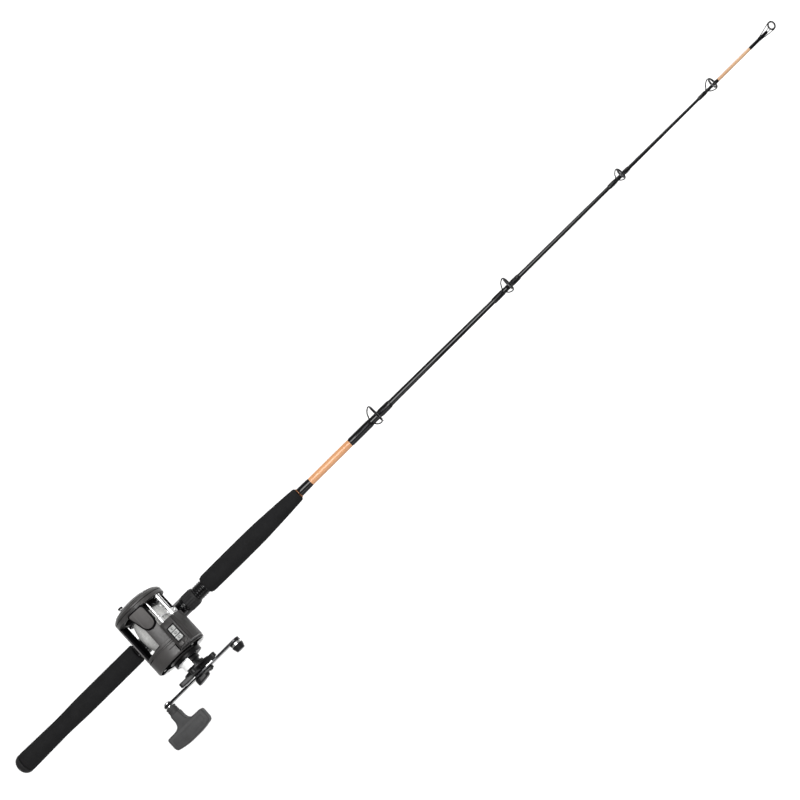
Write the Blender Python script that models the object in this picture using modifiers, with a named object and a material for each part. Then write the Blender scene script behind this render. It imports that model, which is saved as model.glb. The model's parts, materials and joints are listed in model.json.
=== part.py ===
"""A short boat rod carrying a line-counter reel, as separate parts in one frame.

The rod lies along +X with its butt at the origin, +Z is up with the reel and the guides on top,
and the crank is on the -Y side. Lengths here are in millimetres and are scaled to metres where
a mesh is made. On the reel a reach is measured towards the crank, so a reach of 30 is y = -30.
"""

import math

import bmesh
import bpy
from mathutils import Matrix, Vector

MM = 0.001
GAP = 0.3  # space left between two parts that touch in the real thing
OVERLAP = 0.5  # how far one shape runs into another that it is joined to
PAST = 2.0  # how far a cutter runs past the face that it opens

# Rod: stations along X.
CAP_END = 12.0
BUTT_GRIP_END = 238.0
SEAT_END = 375.0
FORE_GRIP_END = 564.0
CHECK_END = 566.5
HOSEL_END = 588.5
BUTT_BAND_END = 668.0
TIP_BAND_START = 1412.2
TIP_BAND_END = 1476.4
TIP_TUBE_END = 1511.7
GRIP_RADIUS = 14.9
SLEEVE_GAP = 0.15  # glue line between the blank and a wrap
BLANK = (  # (station, radius)
    (CAP_END + GAP, 6.1),
    (FORE_GRIP_END, 6.1),
    (HOSEL_END, 5.6),
    (708, 5.35),
    (752, 4.9),
    (828, 4.5),
    (886, 4.3),
    (955, 3.8),
    (1111, 3.25),
    (1246, 2.7),
    (1353, 2.16),
    (TIP_BAND_START, 2.0),
    (TIP_TUBE_END - 3.0, 1.85),
)

# Guides: ring station, ring height, hoop radius, wire radius, rear and front ends of the wrap,
# where the rear wrap stops, where the front wrap starts, and how thick the wraps are.
REAR_FOOT = 30.5  # the most that a rear foot runs under its wrap
GUIDES = (
    (724.8, 25.0, 14.1, 0.9, 668.3, 750.0, 710.6, 728.0, 0.75),
    (989.0, 20.5, 11.0, 0.8, 958.0, 1010.0, 978.0, 994.0, 0.65),
    (1215.0, 15.4, 8.7, 0.7, 1191.6, 1232.0, 1206.7, 1221.0, 0.6),
    (1399.3, 14.6, 8.7, 0.7, 1373.0, 1411.9, 1388.9, 1405.0, 0.7),
)
TIP_RING = Vector((1518.3, 0, 11.0))
TIP_RING_LEAN = math.radians(32)
TIP_HOOP_RADIUS = 6.2
TIP_WIRE = 0.65

# Reel seat.
SEAT_RADIUS = 10.6
SEAT_DECK = 9.2
THREAD_RADIUS = 11.4
THREAD_ROOT = 10.3
THREAD_PITCH = 3.66
HOOD_START = 318.0
HOOD_END = 338.0
HOOD_BORE = 11.7
HOOD_RADIUS = 13.1
HOOD_HUMP = (6.3, 10.5)  # height and radius of the raised part that takes the reel foot
NUT_END = 356.6
NUT_RIBS = 15
NUT_RADII = (13.5, 12.9)  # over the ribs and between them

# Reel: the spool axis, and the crank axis straight below it.
SPOOL = Vector((296.0, 0, 55.0))
MODULE_CRANK = 1.0
MAIN_TEETH = 30
PINION_TEETH = 10
CRANK = SPOOL - Vector((0, 0, MODULE_CRANK * (MAIN_TEETH + PINION_TEETH) / 2))
PLATE_RADIUS = 40.4
RING_INNER = 29.6
AXLE_RADIUS = 2.3
AXLE_BORE = 2.6
LEFT_WALL = (-33.0, -28.8)
RIGHT_WALL = (31.3, 35.3)
LEFT_DOME = -47.8
DRUM_END = 57.0
DRUM_WALL = 2.2
BOSS_RADIUS = 22.2
BOSS_END = 64.3

# Level wind: the worm stands off the spool axis by the spool cog, the idler and the worm gear.
MODULE_WIND = 1.0
COG_TEETH = 10
IDLER_TEETH = 24
WORM_TEETH = 10
WORM_ANGLE = math.radians(17)
WORM_DIRECTION = Vector((math.cos(WORM_ANGLE), 0, math.sin(WORM_ANGLE)))
IDLER = SPOOL + WORM_DIRECTION * MODULE_WIND * (COG_TEETH + IDLER_TEETH) / 2
WORM = IDLER + WORM_DIRECTION * MODULE_WIND * (IDLER_TEETH + WORM_TEETH) / 2
WORM_TUBE_RADIUS = 4.5
WORM_TUBE_BORE = 3.2
GUIDE_ROD = Vector((314.4, 0, 81.0))
GUIDE_ROD_RADIUS = 1.6
CARRIAGE = (-0.6, 8.8)
FINGER = 2.1
WIND_GEARS = (37.0, 41.0)
CRANK_GEARS = (46.0, 50.0)

# Thumb rest: a pad on the top bridge, by (station, reach), with a slanted rear side.
PAD_RADIUS = 43.0
PAD_OUTLINE = (
    (288.0, -28.0),
    (309.3, -27.6),
    (310.8, -24.0),
    (310.9, -4.4),
    (309.1, 2.5),
    (302.4, 5.3),
    (296.1, 3.2),
    (293.2, -1.7),
    (286.8, -25.3),
)

# Line counter.
WHEEL = Vector((322.5, 0, 96.0))
WHEEL_RADIUS = 6.0
WHEEL_WIDTH = 7.0
WHEEL_START = 23.0
COUNTER = (11.5, 55.0)
COUNTER_TOP = 103.2
WINDOW = (317.2, 327.8)

# Crank.
STAR = (64.7, 70.0, 74.8, 79.0, 81.0, 88.0)
STAR_RADII = (13.2, 10.5, 14.2, 22.0)
STAR_ARM = 35.0
ARM = (88.4, 91.8)
ARM_REAR = 66.0
ARM_FRONT = 62.5
SHAFT_RADIUS = 4.0
SPINDLE_RADIUS = 3.0
KNOB = (93.8, 124.0, 149.5)
KNOB_STEM = 7.7
KNOB_BAR = (32.5, 8.5)

AXES = {
    "X": Matrix(((0, 0, 1), (1, 0, 0), (0, 1, 0))),
    "-Y": Matrix(((1, 0, 0), (0, 0, -1), (0, 1, 0))),
    "Z": Matrix.Identity(3),
}

# Material kinds: base colour, roughness, metallic.
KINDS = {
    "foam": ((0.018, 0.018, 0.018), 0.9, 0.0),
    "rubber": ((0.015, 0.015, 0.015), 0.75, 0.0),
    "gloss_black": ((0.01, 0.01, 0.011), 0.12, 0.0),
    "matte_black": ((0.014, 0.014, 0.015), 0.5, 0.0),
    "graphite": ((0.072, 0.068, 0.065), 0.42, 0.0),
    "orange": ((0.8, 0.36, 0.13), 0.3, 0.0),
    "copper": ((0.3, 0.13, 0.06), 0.3, 1.0),
    "black_metal": ((0.03, 0.03, 0.032), 0.3, 1.0),
    "ceramic": ((0.2, 0.2, 0.21), 0.15, 0.0),
    "chrome": ((0.8, 0.8, 0.8), 0.1, 1.0),
    "steel": ((0.45, 0.45, 0.45), 0.3, 1.0),
    "brass": ((0.6, 0.42, 0.16), 0.3, 1.0),
    "line": ((0.5, 0.5, 0.47), 0.5, 0.0),
    "dial": ((0.75, 0.75, 0.73), 0.5, 0.0),
    "glass": ((0.8, 0.85, 0.85), 0.05, 0.0),
}


def cleared():
    """Empties the scene, and gives the collections for the parts and for the shapes that cut or join."""
    for obj in list(bpy.data.objects):
        bpy.data.objects.remove(obj)
    made = []
    for name in ("boat_rod_and_reel", "helpers"):
        collection = bpy.data.collections.new(name)
        bpy.context.scene.collection.children.link(collection)
        made.append(collection)
    made[1].hide_render = True
    return made


PARTS, HELPERS = cleared()


def placed(name, mesh, origin, along):
    obj = bpy.data.objects.new(name, mesh)
    obj.matrix_world = Matrix.Translation(Vector(origin) * MM) @ AXES[along].to_4x4()
    return obj


def turned(name, path, origin=(0, 0, 0), along="X", segments=24):
    """A path of (reach, radius) turned about the axis. It runs out along the outside and back
    along the inside, either from axis to axis or as a ring that closes on itself."""
    points = [(radius * MM, 0, reach * MM) for reach, radius in reversed(path)]
    edges = [(i, i + 1) for i in range(len(points) - 1)]
    if path[0][1] > 0:
        edges.append((len(points) - 1, 0))
    mesh = bpy.data.meshes.new(name)
    mesh.from_pydata(points, edges, [])
    obj = placed(name, mesh, origin, along)
    screw = obj.modifiers.new("Turn", "SCREW")
    screw.axis = "Z"
    screw.angle = math.tau
    screw.steps = segments
    screw.render_steps = segments
    screw.use_merge_vertices = True
    screw.merge_threshold = 1e-6
    screw.use_smooth_shade = False
    return obj


def rod(name, radius, start, end, origin, along="-Y", segments=16):
    return turned(name, ((start, 0), (start, radius), (end, radius), (end, 0)), origin, along, segments)


def tube(name, outer, bore, origin=(0, 0, 0), along="X", segments=24):
    path = (*outer, (outer[-1][0], bore), (outer[0][0], bore))
    return turned(name, path, origin, along, segments)


def prism(name, outline, start, end, origin=(0, 0, 0), along="-Y"):
    """An outline of (across, up) points pushed along the axis from start to end."""
    shape = bmesh.new()
    corners = [shape.verts.new((x * MM, y * MM, start * MM)) for x, y in outline]
    face = shape.faces.new(corners)
    pushed = bmesh.ops.extrude_face_region(shape, geom=[face])["geom"]
    moved = [item for item in pushed if isinstance(item, bmesh.types.BMVert)]
    bmesh.ops.translate(shape, verts=moved, vec=(0, 0, (end - start) * MM))
    bmesh.ops.recalc_face_normals(shape, faces=shape.faces)
    mesh = bpy.data.meshes.new(name)
    shape.to_mesh(mesh)
    shape.free()
    return placed(name, mesh, origin, along)


def block(name, low, high, bevel=0.0, origin=(0, 0, 0)):
    """A box between two corners, with its edges chamfered where a bevel is given."""
    low, high = Vector(low), Vector(high)
    shape = bmesh.new()
    size = Matrix.Diagonal(((high - low) * MM).to_4d())
    size[3][3] = 1.0
    middle = Matrix.Translation((low + high) / 2 * MM)
    bmesh.ops.create_cube(shape, size=1.0, matrix=middle @ size)
    mesh = bpy.data.meshes.new(name)
    shape.to_mesh(mesh)
    shape.free()
    obj = placed(name, mesh, origin, "Z")
    if bevel:
        modifier = obj.modifiers.new("Edges", "BEVEL")
        modifier.width = bevel * MM
        modifier.segments = 2
    return obj


def wire(name, points, radius):
    """Round wire bent through the points, as a closed mesh."""
    curve = bpy.data.curves.new(name, "CURVE")
    curve.dimensions = "3D"
    curve.bevel_depth = radius * MM
    curve.bevel_resolution = 0
    curve.use_fill_caps = True
    spline = curve.splines.new("POLY")
    spline.points.add(len(points) - 1)
    for point, place in zip(spline.points, points):
        point.co = (*(Vector(place) * MM), 1)
    bent = bpy.data.objects.new(name, curve)
    HELPERS.objects.link(bent)
    bpy.context.view_layer.update()
    mesh = bpy.data.meshes.new_from_object(bent.evaluated_get(bpy.context.evaluated_depsgraph_get()))
    bpy.data.objects.remove(bent)
    shape = bmesh.new()
    shape.from_mesh(mesh)
    bmesh.ops.remove_doubles(shape, verts=shape.verts, dist=1e-7)
    bmesh.ops.recalc_face_normals(shape, faces=shape.faces)
    shape.to_mesh(mesh)
    shape.free()
    mesh.name = name
    return placed(name, mesh, (0, 0, 0), "Z")


def combined(obj, others, operation):
    for other in others:
        HELPERS.objects.link(other)
        other.hide_render = True
        other.display_type = "WIRE"
        modifier = obj.modifiers.new(other.name, "BOOLEAN")
        modifier.operation = operation
        modifier.solver = "EXACT"
        modifier.object = other
    return obj


def joined(obj, *others):
    return combined(obj, others, "UNION")


def cut(obj, *others):
    return combined(obj, others, "DIFFERENCE")


def part(obj, kind):
    """Puts a finished shape among the parts, with a material of its own."""
    colour, roughness, metallic = KINDS[kind]
    material = bpy.data.materials.new(obj.name)
    material.use_nodes = True
    shader = material.node_tree.nodes["Principled BSDF"]
    shader.inputs["Base Color"].default_value = (*colour, 1)
    shader.inputs["Roughness"].default_value = roughness
    shader.inputs["Metallic"].default_value = metallic
    material.diffuse_color = (*colour, 1)
    obj.data.materials.clear()
    obj.data.materials.append(material)
    PARTS.objects.link(obj)
    return obj


def arc(radius, start, end, steps):
    """Points round a circle, with the angles in degrees."""
    turns = [math.radians(start + (end - start) * i / steps) for i in range(steps + 1)]
    return [(radius * math.cos(a), radius * math.sin(a)) for a in turns]


def sector(inner, outer, start, end, steps=4):
    return arc(outer, start, end, steps) + arc(inner, end, start, steps)


def capsule(radius_a, radius_b, length, steps=6):
    """The outline of a link: a round end on the centre, and another at length along +x."""
    return arc(radius_a, 90, 270, steps) + [(x + length, y) for x, y in arc(radius_b, -90, 90, steps)]


def gear_outline(teeth, module, turned_by=0.0):
    """Straight-sided teeth, thinner than half the pitch so that a pair turns freely."""
    outline = []
    pitch = module * teeth / 2
    for i in range(teeth):
        middle = math.tau * (i + turned_by) / teeth
        for side, radius, width in (
            (-1, pitch - 1.05 * module, 0.3),
            (-1, pitch + 0.8 * module, 0.12),
            (1, pitch + 0.8 * module, 0.12),
            (1, pitch - 1.05 * module, 0.3),
        ):
            angle = middle + side * width * math.tau / teeth
            outline.append((radius * math.cos(angle), radius * math.sin(angle)))
    return outline


def gear(name, teeth, module, reach, bore, centre, turned_by=0.0):
    wheel = prism(name, gear_outline(teeth, module, turned_by), *reach, centre)
    hole = rod(name + "_bore", bore, reach[0] - PAST, reach[1] + PAST, centre, segments=12)
    return cut(wheel, hole)


def blank_radius(station):
    for (a, first), (b, second) in zip(BLANK, BLANK[1:]):
        if a <= station <= b:
            return first + (second - first) * (station - a) / (b - a)
    raise ValueError(station)


def sleeve(name, stations, thickness, kind, segments=12):
    """A wrap that follows the blank: stations along it, and how thick it is at each."""
    outer = [(x, blank_radius(x) + SLEEVE_GAP + t) for x, t in zip(stations, thickness)]
    kinks = [x for x, _ in BLANK if stations[0] < x < stations[-1]]
    inner = [(x, blank_radius(x) + SLEEVE_GAP) for x in (stations[-1], *reversed(kinks), stations[0])]
    part(turned(name, outer + inner, segments=segments), kind)


def build_handle_parts():
    dome = [(0, 5.0), (1.2, 8.6), (3.4, 11.6), (6.2, 13.8), (9.5, 14.9), (CAP_END - GAP, 15.1)]
    part(turned("butt_cap", [(0, 0), *dome, (CAP_END - GAP, 0)]), "rubber")
    bore = BLANK[0][1] + GAP
    grip = [(CAP_END, 15.1), (45, 14.5), (87, 13.8), (124, GRIP_RADIUS), (BUTT_GRIP_END, GRIP_RADIUS)]
    part(tube("butt_grip", grip, bore), "foam")
    fore = [
        (SEAT_END + GAP, 12.2),
        (379.0, 14.0),
        (420, GRIP_RADIUS),
        (455, GRIP_RADIUS),
        (487, 14.5),
        (504, 13.7),
        (521, 12.9),
        (539, 11.9),
        (556, 10.8),
        (562.5, 10.2),
        (FORE_GRIP_END - GAP, 9.2),
    ]
    part(tube("fore_grip", fore, bore, segments=18), "foam")
    check = [(FORE_GRIP_END, 7.6), (FORE_GRIP_END + 0.8, 8.2), (CHECK_END - GAP, 7.4)]
    part(tube("winding_check", check, bore, segments=16), "copper")
    part(turned("blank", [(BLANK[0][0], 0), *BLANK, (BLANK[-1][0], 0)], segments=12), "gloss_black")
    sleeve("hosel_wrap", (CHECK_END, HOSEL_END - GAP), (0.6, 0.45), "gloss_black")
    sleeve("butt_band", (HOSEL_END, BUTT_BAND_END), (0.4, 0.4), "orange")
    sleeve("tip_band", (TIP_BAND_START, TIP_BAND_END - GAP), (0.35, 0.35), "orange")


def build_seat():
    crests = int((SEAT_END - HOOD_END) / THREAD_PITCH)
    threads = []
    for i in range(crests):
        middle = SEAT_END - (crests - i - 0.5) * THREAD_PITCH
        threads += [(middle - THREAD_PITCH / 2, THREAD_ROOT), (middle, THREAD_RADIUS)]
    plain = [(BUTT_GRIP_END + GAP, SEAT_RADIUS), (HOOD_END, SEAT_RADIUS)]
    outer = [*plain, *threads, (SEAT_END, THREAD_ROOT)]
    seat = tube("reel_seat", outer, BLANK[0][1] + GAP, segments=16)
    deck = block("seat_deck", (255, -9.5, 0), (HOOD_START - GAP, 9.5, SEAT_DECK))
    inside = rod("seat_deck_bore", BLANK[0][1] + GAP, 250, 330, (0, 0, 0), "X")
    rear = tube("rear_hood", [(241, 12.2), (243, HOOD_RADIUS), (263, HOOD_RADIUS)], 9.0)
    hump = rod("rear_hood_hump", HOOD_HUMP[1], 243, 263, (0, 0, HOOD_HUMP[0]), "X")
    bore = rod("rear_hood_bore", SEAT_RADIUS - OVERLAP, 240, 264, (0, 0, 0), "X", 24)
    pocket = block("rear_hood_pocket", (257, -7.0, SEAT_DECK), (263 + PAST, 7.0, 12.9))
    flat = block("seat_flat", (263.2, -12, SEAT_DECK), (HOOD_END - 2, 12, 20))
    trimmed = cut(joined(rear, hump), bore)
    part(cut(joined(seat, trimmed, cut(deck, inside)), pocket, flat), "gloss_black")

    hood = tube("seat_hood", [(HOOD_START, HOOD_RADIUS), (HOOD_END - GAP, HOOD_RADIUS)], HOOD_BORE)
    hump = rod("hood_hump", HOOD_HUMP[1], HOOD_START, HOOD_END - 3, (0, 0, HOOD_HUMP[0]), "X")
    bore = rod("hood_bore", HOOD_BORE, HOOD_START - PAST, HOOD_END + PAST, (0, 0, 0), "X", 24)
    pocket = block("hood_pocket", (HOOD_START - PAST, -7.0, 5), (HOOD_END - 3.6, 7.0, 12.9))
    part(cut(joined(hood, hump), bore, pocket), "gloss_black")

    ribs = []
    crest, groove = NUT_RADII
    for i in range(NUT_RIBS):
        for step, radius in ((0.0, crest), (0.5, crest), (0.6, groove), (0.9, groove)):
            angle = math.tau * (i + step) / NUT_RIBS
            ribs.append((radius * math.cos(angle), radius * math.sin(angle)))
    nut = prism("seat_nut", ribs, HOOD_END, NUT_END - 2.5, along="X")
    collar = tube("nut_collar", [(NUT_END - 3.5, 12.7), (NUT_END - 2.0, 12.7), (NUT_END, 12.1)], HOOD_BORE)
    bore = rod("nut_bore", HOOD_BORE, HOOD_END - PAST, NUT_END + PAST, (0, 0, 0), "X", 24)
    part(cut(joined(nut, collar), bore), "matte_black")


def build_guide(number, station, height, hoop, thick, wrap_start, wrap_end, rear_end, front_start, wrap):
    """A double-foot guide: a hoop on two bent rear legs and a front foot, an insert ring, a wrap."""
    top = blank_radius((wrap_start + wrap_end) / 2) + SLEEVE_GAP + wrap + GAP
    section = arc(thick, 0, 360, 5)[:-1]
    ring = [(y, hoop + x) for x, y in reversed(section)]
    frame = turned(f"guide_frame_{number}", ring, (station, 0, height), "X", 18)
    foot = thick * 1.1
    rise = height - top
    seat = top + blank_radius(rear_end) - blank_radius((wrap_start + wrap_end) / 2)
    legs = []
    for side in (-1, 1):
        path = (
            (rear_end - 4.0, side * 0.8, seat + foot * 0.7),
            (rear_end + 0.07 * rise, side * 0.28 * hoop, seat + 0.12 * rise + foot * 0.5),
            (rear_end + 0.35 * (station - rear_end), side * 0.75 * hoop, seat + 0.5 * rise),
            (rear_end + 0.75 * (station - rear_end), side * (hoop + 0.4), height - 0.12 * hoop),
            (station - 0.1, side * hoop * 0.985, height + 0.17 * hoop),
        )
        legs.append(wire(f"guide_{number}_leg_{'left' if side > 0 else 'right'}", path, thick * 0.9))
    rear = block(
        f"guide_{number}_rear_foot",
        (rear_end - min(REAR_FOOT, rear_end - wrap_start - 2), -1.7, seat),
        (rear_end - 0.5, 1.7, seat + foot * 1.3),
        0.35,
    )
    front_seat = top + blank_radius(front_start) - blank_radius((wrap_start + wrap_end) / 2)
    brace = wire(
        f"guide_{number}_brace",
        (
            (station, 0, height - hoop),
            (station + 0.45 * (front_start - station), 0, front_seat + 0.4 * (height - hoop - front_seat)),
            (front_start + 0.6, 0, front_seat + foot * 0.75),
            (front_start + 3.0, 0, front_seat + foot * 0.75),
        ),
        thick * 0.9,
    )
    front = block(
        f"guide_{number}_front_foot",
        (front_start + 0.3, -1.4, front_seat),
        (wrap_end - 0.2 * (wrap_end - front_start) - 1.5, 1.4, front_seat + foot * 1.2),
        0.3,
    )
    part(joined(frame, *legs, rear, brace, front), "black_metal")
    outer = hoop - thick - GAP
    lip = 0.07 * hoop + 0.3
    wide = 0.5 * lip + 0.75
    insert = [(-wide, outer - 0.4), (-wide * 0.6, outer), (wide * 0.6, outer), (wide, outer - 0.4)]
    insert += [(wide, outer - lip), (-wide, outer - lip)]
    part(turned(f"guide_ring_{number}", insert, (station, 0, height), "X", 18), "ceramic")
    stations = (wrap_start, wrap_start + 1.5, rear_end - 1, rear_end + 0.6)
    stations += (front_start - 0.6, front_start + 1, wrap_end - 2.5, wrap_end)
    thin = 0.25
    sleeve(
        f"guide_wrap_{number}",
        stations,
        (thin, wrap, wrap, thin, thin, wrap, wrap, thin),
        "gloss_black",
    )


def build_tip_top():
    lean = Matrix.Rotation(TIP_RING_LEAN, 3, "Y")
    section = arc(TIP_WIRE, 0, 360, 5)[:-1]
    ring = [(y, TIP_HOOP_RADIUS + x) for x, y in reversed(section)]
    hoop = turned("tip_hoop", ring, TIP_RING, "X", 16)
    hoop.matrix_world = Matrix.Translation(TIP_RING * MM) @ (lean @ AXES["X"]).to_4x4()
    barrel = [(TIP_BAND_END, 2.35), (TIP_BAND_END + 1, 2.55), (TIP_TUBE_END - 0.5, 2.55), (TIP_TUBE_END, 2.1)]
    bore = blank_radius(TIP_BAND_END) + SLEEVE_GAP
    stop = BLANK[-1][0] + GAP
    outside = turned("tip_top_frame", [(TIP_BAND_END, 0), *barrel, (TIP_TUBE_END, 0)], segments=12)
    inside = rod("tip_bore", bore, TIP_BAND_END - PAST, stop, (0, 0, 0), "X", 12)
    frame = cut(outside, inside)
    pieces = [hoop]
    for side in (-1, 1):
        across = side * (TIP_HOOP_RADIUS + 0.1)
        leg = (
            (1497.0, side * 2.5, 0.3),
            (1501.5, side * 2.9, 1.3),
            (1510.5, side * 4.9, 5.2),
            (TIP_RING.x - 1.0, across, TIP_RING.z - 1.4),
            (TIP_RING.x + 0.3, side * TIP_HOOP_RADIUS, TIP_RING.z + 0.6),
        )
        low = TIP_RING + lean @ Vector((0, side * 1.7, -TIP_HOOP_RADIUS * 0.96))
        prop = ((TIP_TUBE_END - 1.6, side * 1.0, 1.0), (TIP_TUBE_END + 1.0, side * 1.5, 2.4), tuple(low))
        name = "left" if side > 0 else "right"
        pieces += [wire(f"tip_leg_{name}", leg, 0.6), wire(f"tip_prop_{name}", prop, 0.55)]
    part(joined(frame, *pieces), "black_metal")
    outer = TIP_HOOP_RADIUS - TIP_WIRE - GAP
    insert = [(-1.1, outer - 0.3), (-0.7, outer), (0.7, outer), (1.1, outer - 0.3)]
    insert += [(1.1, outer - 1.0), (-1.1, outer - 1.0)]
    inner = turned("tip_top_ring", insert, TIP_RING, "X", 16)
    inner.matrix_world = Matrix.Translation(TIP_RING * MM) @ (lean @ AXES["X"]).to_4x4()
    part(inner, "ceramic")


def build_frame():
    left = tube("reel_frame", [(LEFT_WALL[0], PLATE_RADIUS), (LEFT_WALL[1], PLATE_RADIUS)], RING_INNER, SPOOL, "-Y", 24)
    right = rod("right_wall", PLATE_RADIUS, *RIGHT_WALL, SPOOL, segments=24)
    between = (LEFT_WALL[1] - OVERLAP, RIGHT_WALL[0] + OVERLAP)
    bars = [
        prism("rear_bar", sector(35.4, PLATE_RADIUS, 163, 200, 5), *between, SPOOL),
        prism("top_bridge", sector(36.8, 40.1, 68, 96, 5), *between, SPOOL),
        prism("front_bar", sector(36.6, PLATE_RADIUS, 300, 322, 3), *between, SPOOL),
        prism("bottom_bridge", sector(36.0, PLATE_RADIUS, 250, 290, 5), *between, SPOOL),
    ]
    stud = rod("idler_stud", 1.9, RIGHT_WALL[1] - OVERLAP, WIND_GEARS[1] + GAP, IDLER, segments=12)
    holes = [
        rod("bearing_seat", 6.3, RIGHT_WALL[0] - PAST, RIGHT_WALL[1] + PAST, SPOOL, segments=20),
        rod("worm_hole", 3.0, RIGHT_WALL[0] - PAST, RIGHT_WALL[1] + PAST, WORM, segments=12),
    ]
    part(cut(joined(left, right, *bars, stud), *holes), "graphite")

    plate = block("reel_foot", (264.0, -9.0, SEAT_DECK + GAP), (311.0, 9.0, 12.2), 0.6)
    tongue = [(-1, -6.3), (0, -6.3), (59, -6.3), (72.5, -5.0), (72.5, 5.0), (59, 6.3), (-1, 6.3)]
    tongue = prism("foot_tongues", tongue, SEAT_DECK + GAP, 11.6, (259.5, 0, 0), "Z")
    saddle = block("foot_saddle", (282, -9.0, 11.0), (310, 9.0, 18.0))
    scoop = rod("foot_scoop", PLATE_RADIUS + GAP, -20, 20, SPOOL, segments=64)
    part(joined(plate, tongue, cut(saddle, scoop)), "steel")


def build_plates():
    dome = [(LEFT_DOME, 12), (-47.0, 21), (-44.8, 30), (-42.2, 35.5), (-39.6, 39), (-36.4, PLATE_RADIUS)]
    inside = [(-33.3, 37.0), (-37.4, 37.0), (-42.2, 29.5), (-44.2, 20), (-44.8, 9.2), (-29.6, 9.2), (-29.6, 6.3)]
    path = [(LEFT_DOME, 0), *dome, (-33.3, PLATE_RADIUS), *inside, (-36.0, 6.3), (-36.0, 0)]
    plate = turned("left_side_plate", path, SPOOL, "-Y", 24)
    slot = block("clicker_slot", (-22.6, 40, -1.8), (-11.8, 54, 1.8), origin=SPOOL)
    part(cut(plate, slot), "graphite")

    start = RIGHT_WALL[1] + GAP
    cup = [(start, PLATE_RADIUS), (DRUM_END - 2.0, PLATE_RADIUS), (DRUM_END, PLATE_RADIUS - 1.4), (DRUM_END, 6.2)]
    hollow = [(DRUM_END - 3.0, PLATE_RADIUS - DRUM_WALL), (start, PLATE_RADIUS - DRUM_WALL)]
    path = [*cup, (DRUM_END - 3.0, 6.2), *hollow]
    drum = turned("right_side_plate", path, SPOOL, "-Y", 24)
    patch = rod("drum_patch", 8.0, DRUM_END - 3.0, DRUM_END, SPOOL, segments=20)
    shaft = rod("drum_shaft_hole", SHAFT_RADIUS + 0.6, DRUM_END - 3.0 - PAST, DRUM_END + PAST, CRANK)
    bulge = rod("worm_bulge", 7.6, start, WIND_GEARS[1] + 3.2, WORM, segments=20)
    well = rod("worm_well", 6.3, start - PAST, WIND_GEARS[1] + 1.5, WORM, segments=16)
    room = rod("drum_room", PLATE_RADIUS - DRUM_WALL / 2, start - PAST, DRUM_END - 3.0 - OVERLAP, SPOOL, segments=32)
    part(cut(joined(drum, patch, cut(bulge, room)), shaft, well), "graphite")

    boss = [(DRUM_END + GAP, BOSS_RADIUS), (BOSS_END - 0.8, BOSS_RADIUS), (BOSS_END, BOSS_RADIUS - 0.8)]
    part(tube("gear_boss", boss, SHAFT_RADIUS + 0.5, CRANK, "-Y", 24), "matte_black")

    shell = [*arc(PAD_RADIUS, 60, 112, 8), *arc(PLATE_RADIUS + 0.2, 112, 60, 8)]
    rest = prism("thumb_rest", shell, -30.0, 8.0, SPOOL)
    outline = [(x, -reach) for x, reach in PAD_OUTLINE]
    combined(rest, [prism("thumb_rest_outline", outline, 80, 110, (0, 0, 0), "Z")], "INTERSECT")
    part(rest, "graphite")


def build_counter():
    outline = [(311.5, 84), (311.5, 99.5), (315.0, COUNTER_TOP), (329.5, COUNTER_TOP), (336.0, 98.0)]
    outline += [(341.0, 87.0), (342.3, 73.0), (338.6, 72.0), (331.5, 84.0)]
    case = prism("counter_housing", outline, *COUNTER)
    under = rod("counter_under", PLATE_RADIUS + GAP, COUNTER[0] - PAST, COUNTER[1] + PAST, SPOOL, segments=80)
    width = 3 * WHEEL_WIDTH + 2 * 0.4
    room = (WHEEL_START - 0.5, WHEEL_START + width + 0.5)
    well = rod("counter_well", WHEEL_RADIUS + 0.5, *room, WHEEL, segments=24)
    mouth = block("counter_mouth", (WINDOW[0], -room[1], WHEEL.z), (WINDOW[1], -room[0], COUNTER_TOP + PAST))
    axle = rod("counter_axle", 1.2, room[0] - 1, room[1] + 1, WHEEL, segments=10)
    recess = block("reset_recess", (314.9, -53.4, 98.0), (322.9, -47.4, COUNTER_TOP + PAST))
    part(joined(cut(case, under, well, mouth, recess), axle), "graphite")
    pane = block(
        "counter_window",
        (WINDOW[0] + GAP, -room[1] + GAP, COUNTER_TOP - 0.8),
        (WINDOW[1] - GAP, -room[0] - GAP, COUNTER_TOP - 0.1),
    )
    part(pane, "glass")
    for i, name in enumerate(("hundreds", "tens", "units")):
        start = WHEEL_START + i * (WHEEL_WIDTH + 0.4)
        rim = [(start, WHEEL_RADIUS), (start + WHEEL_WIDTH, WHEEL_RADIUS)]
        part(tube(f"digit_wheel_{name}", rim, 1.6, WHEEL, "-Y", 20), "dial")
    part(block("reset_button", (-3.7, -2.7, -3.2), (3.7, 2.7, 1.0), 0.5, (318.9, -50.4, COUNTER_TOP)), "matte_black")


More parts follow.
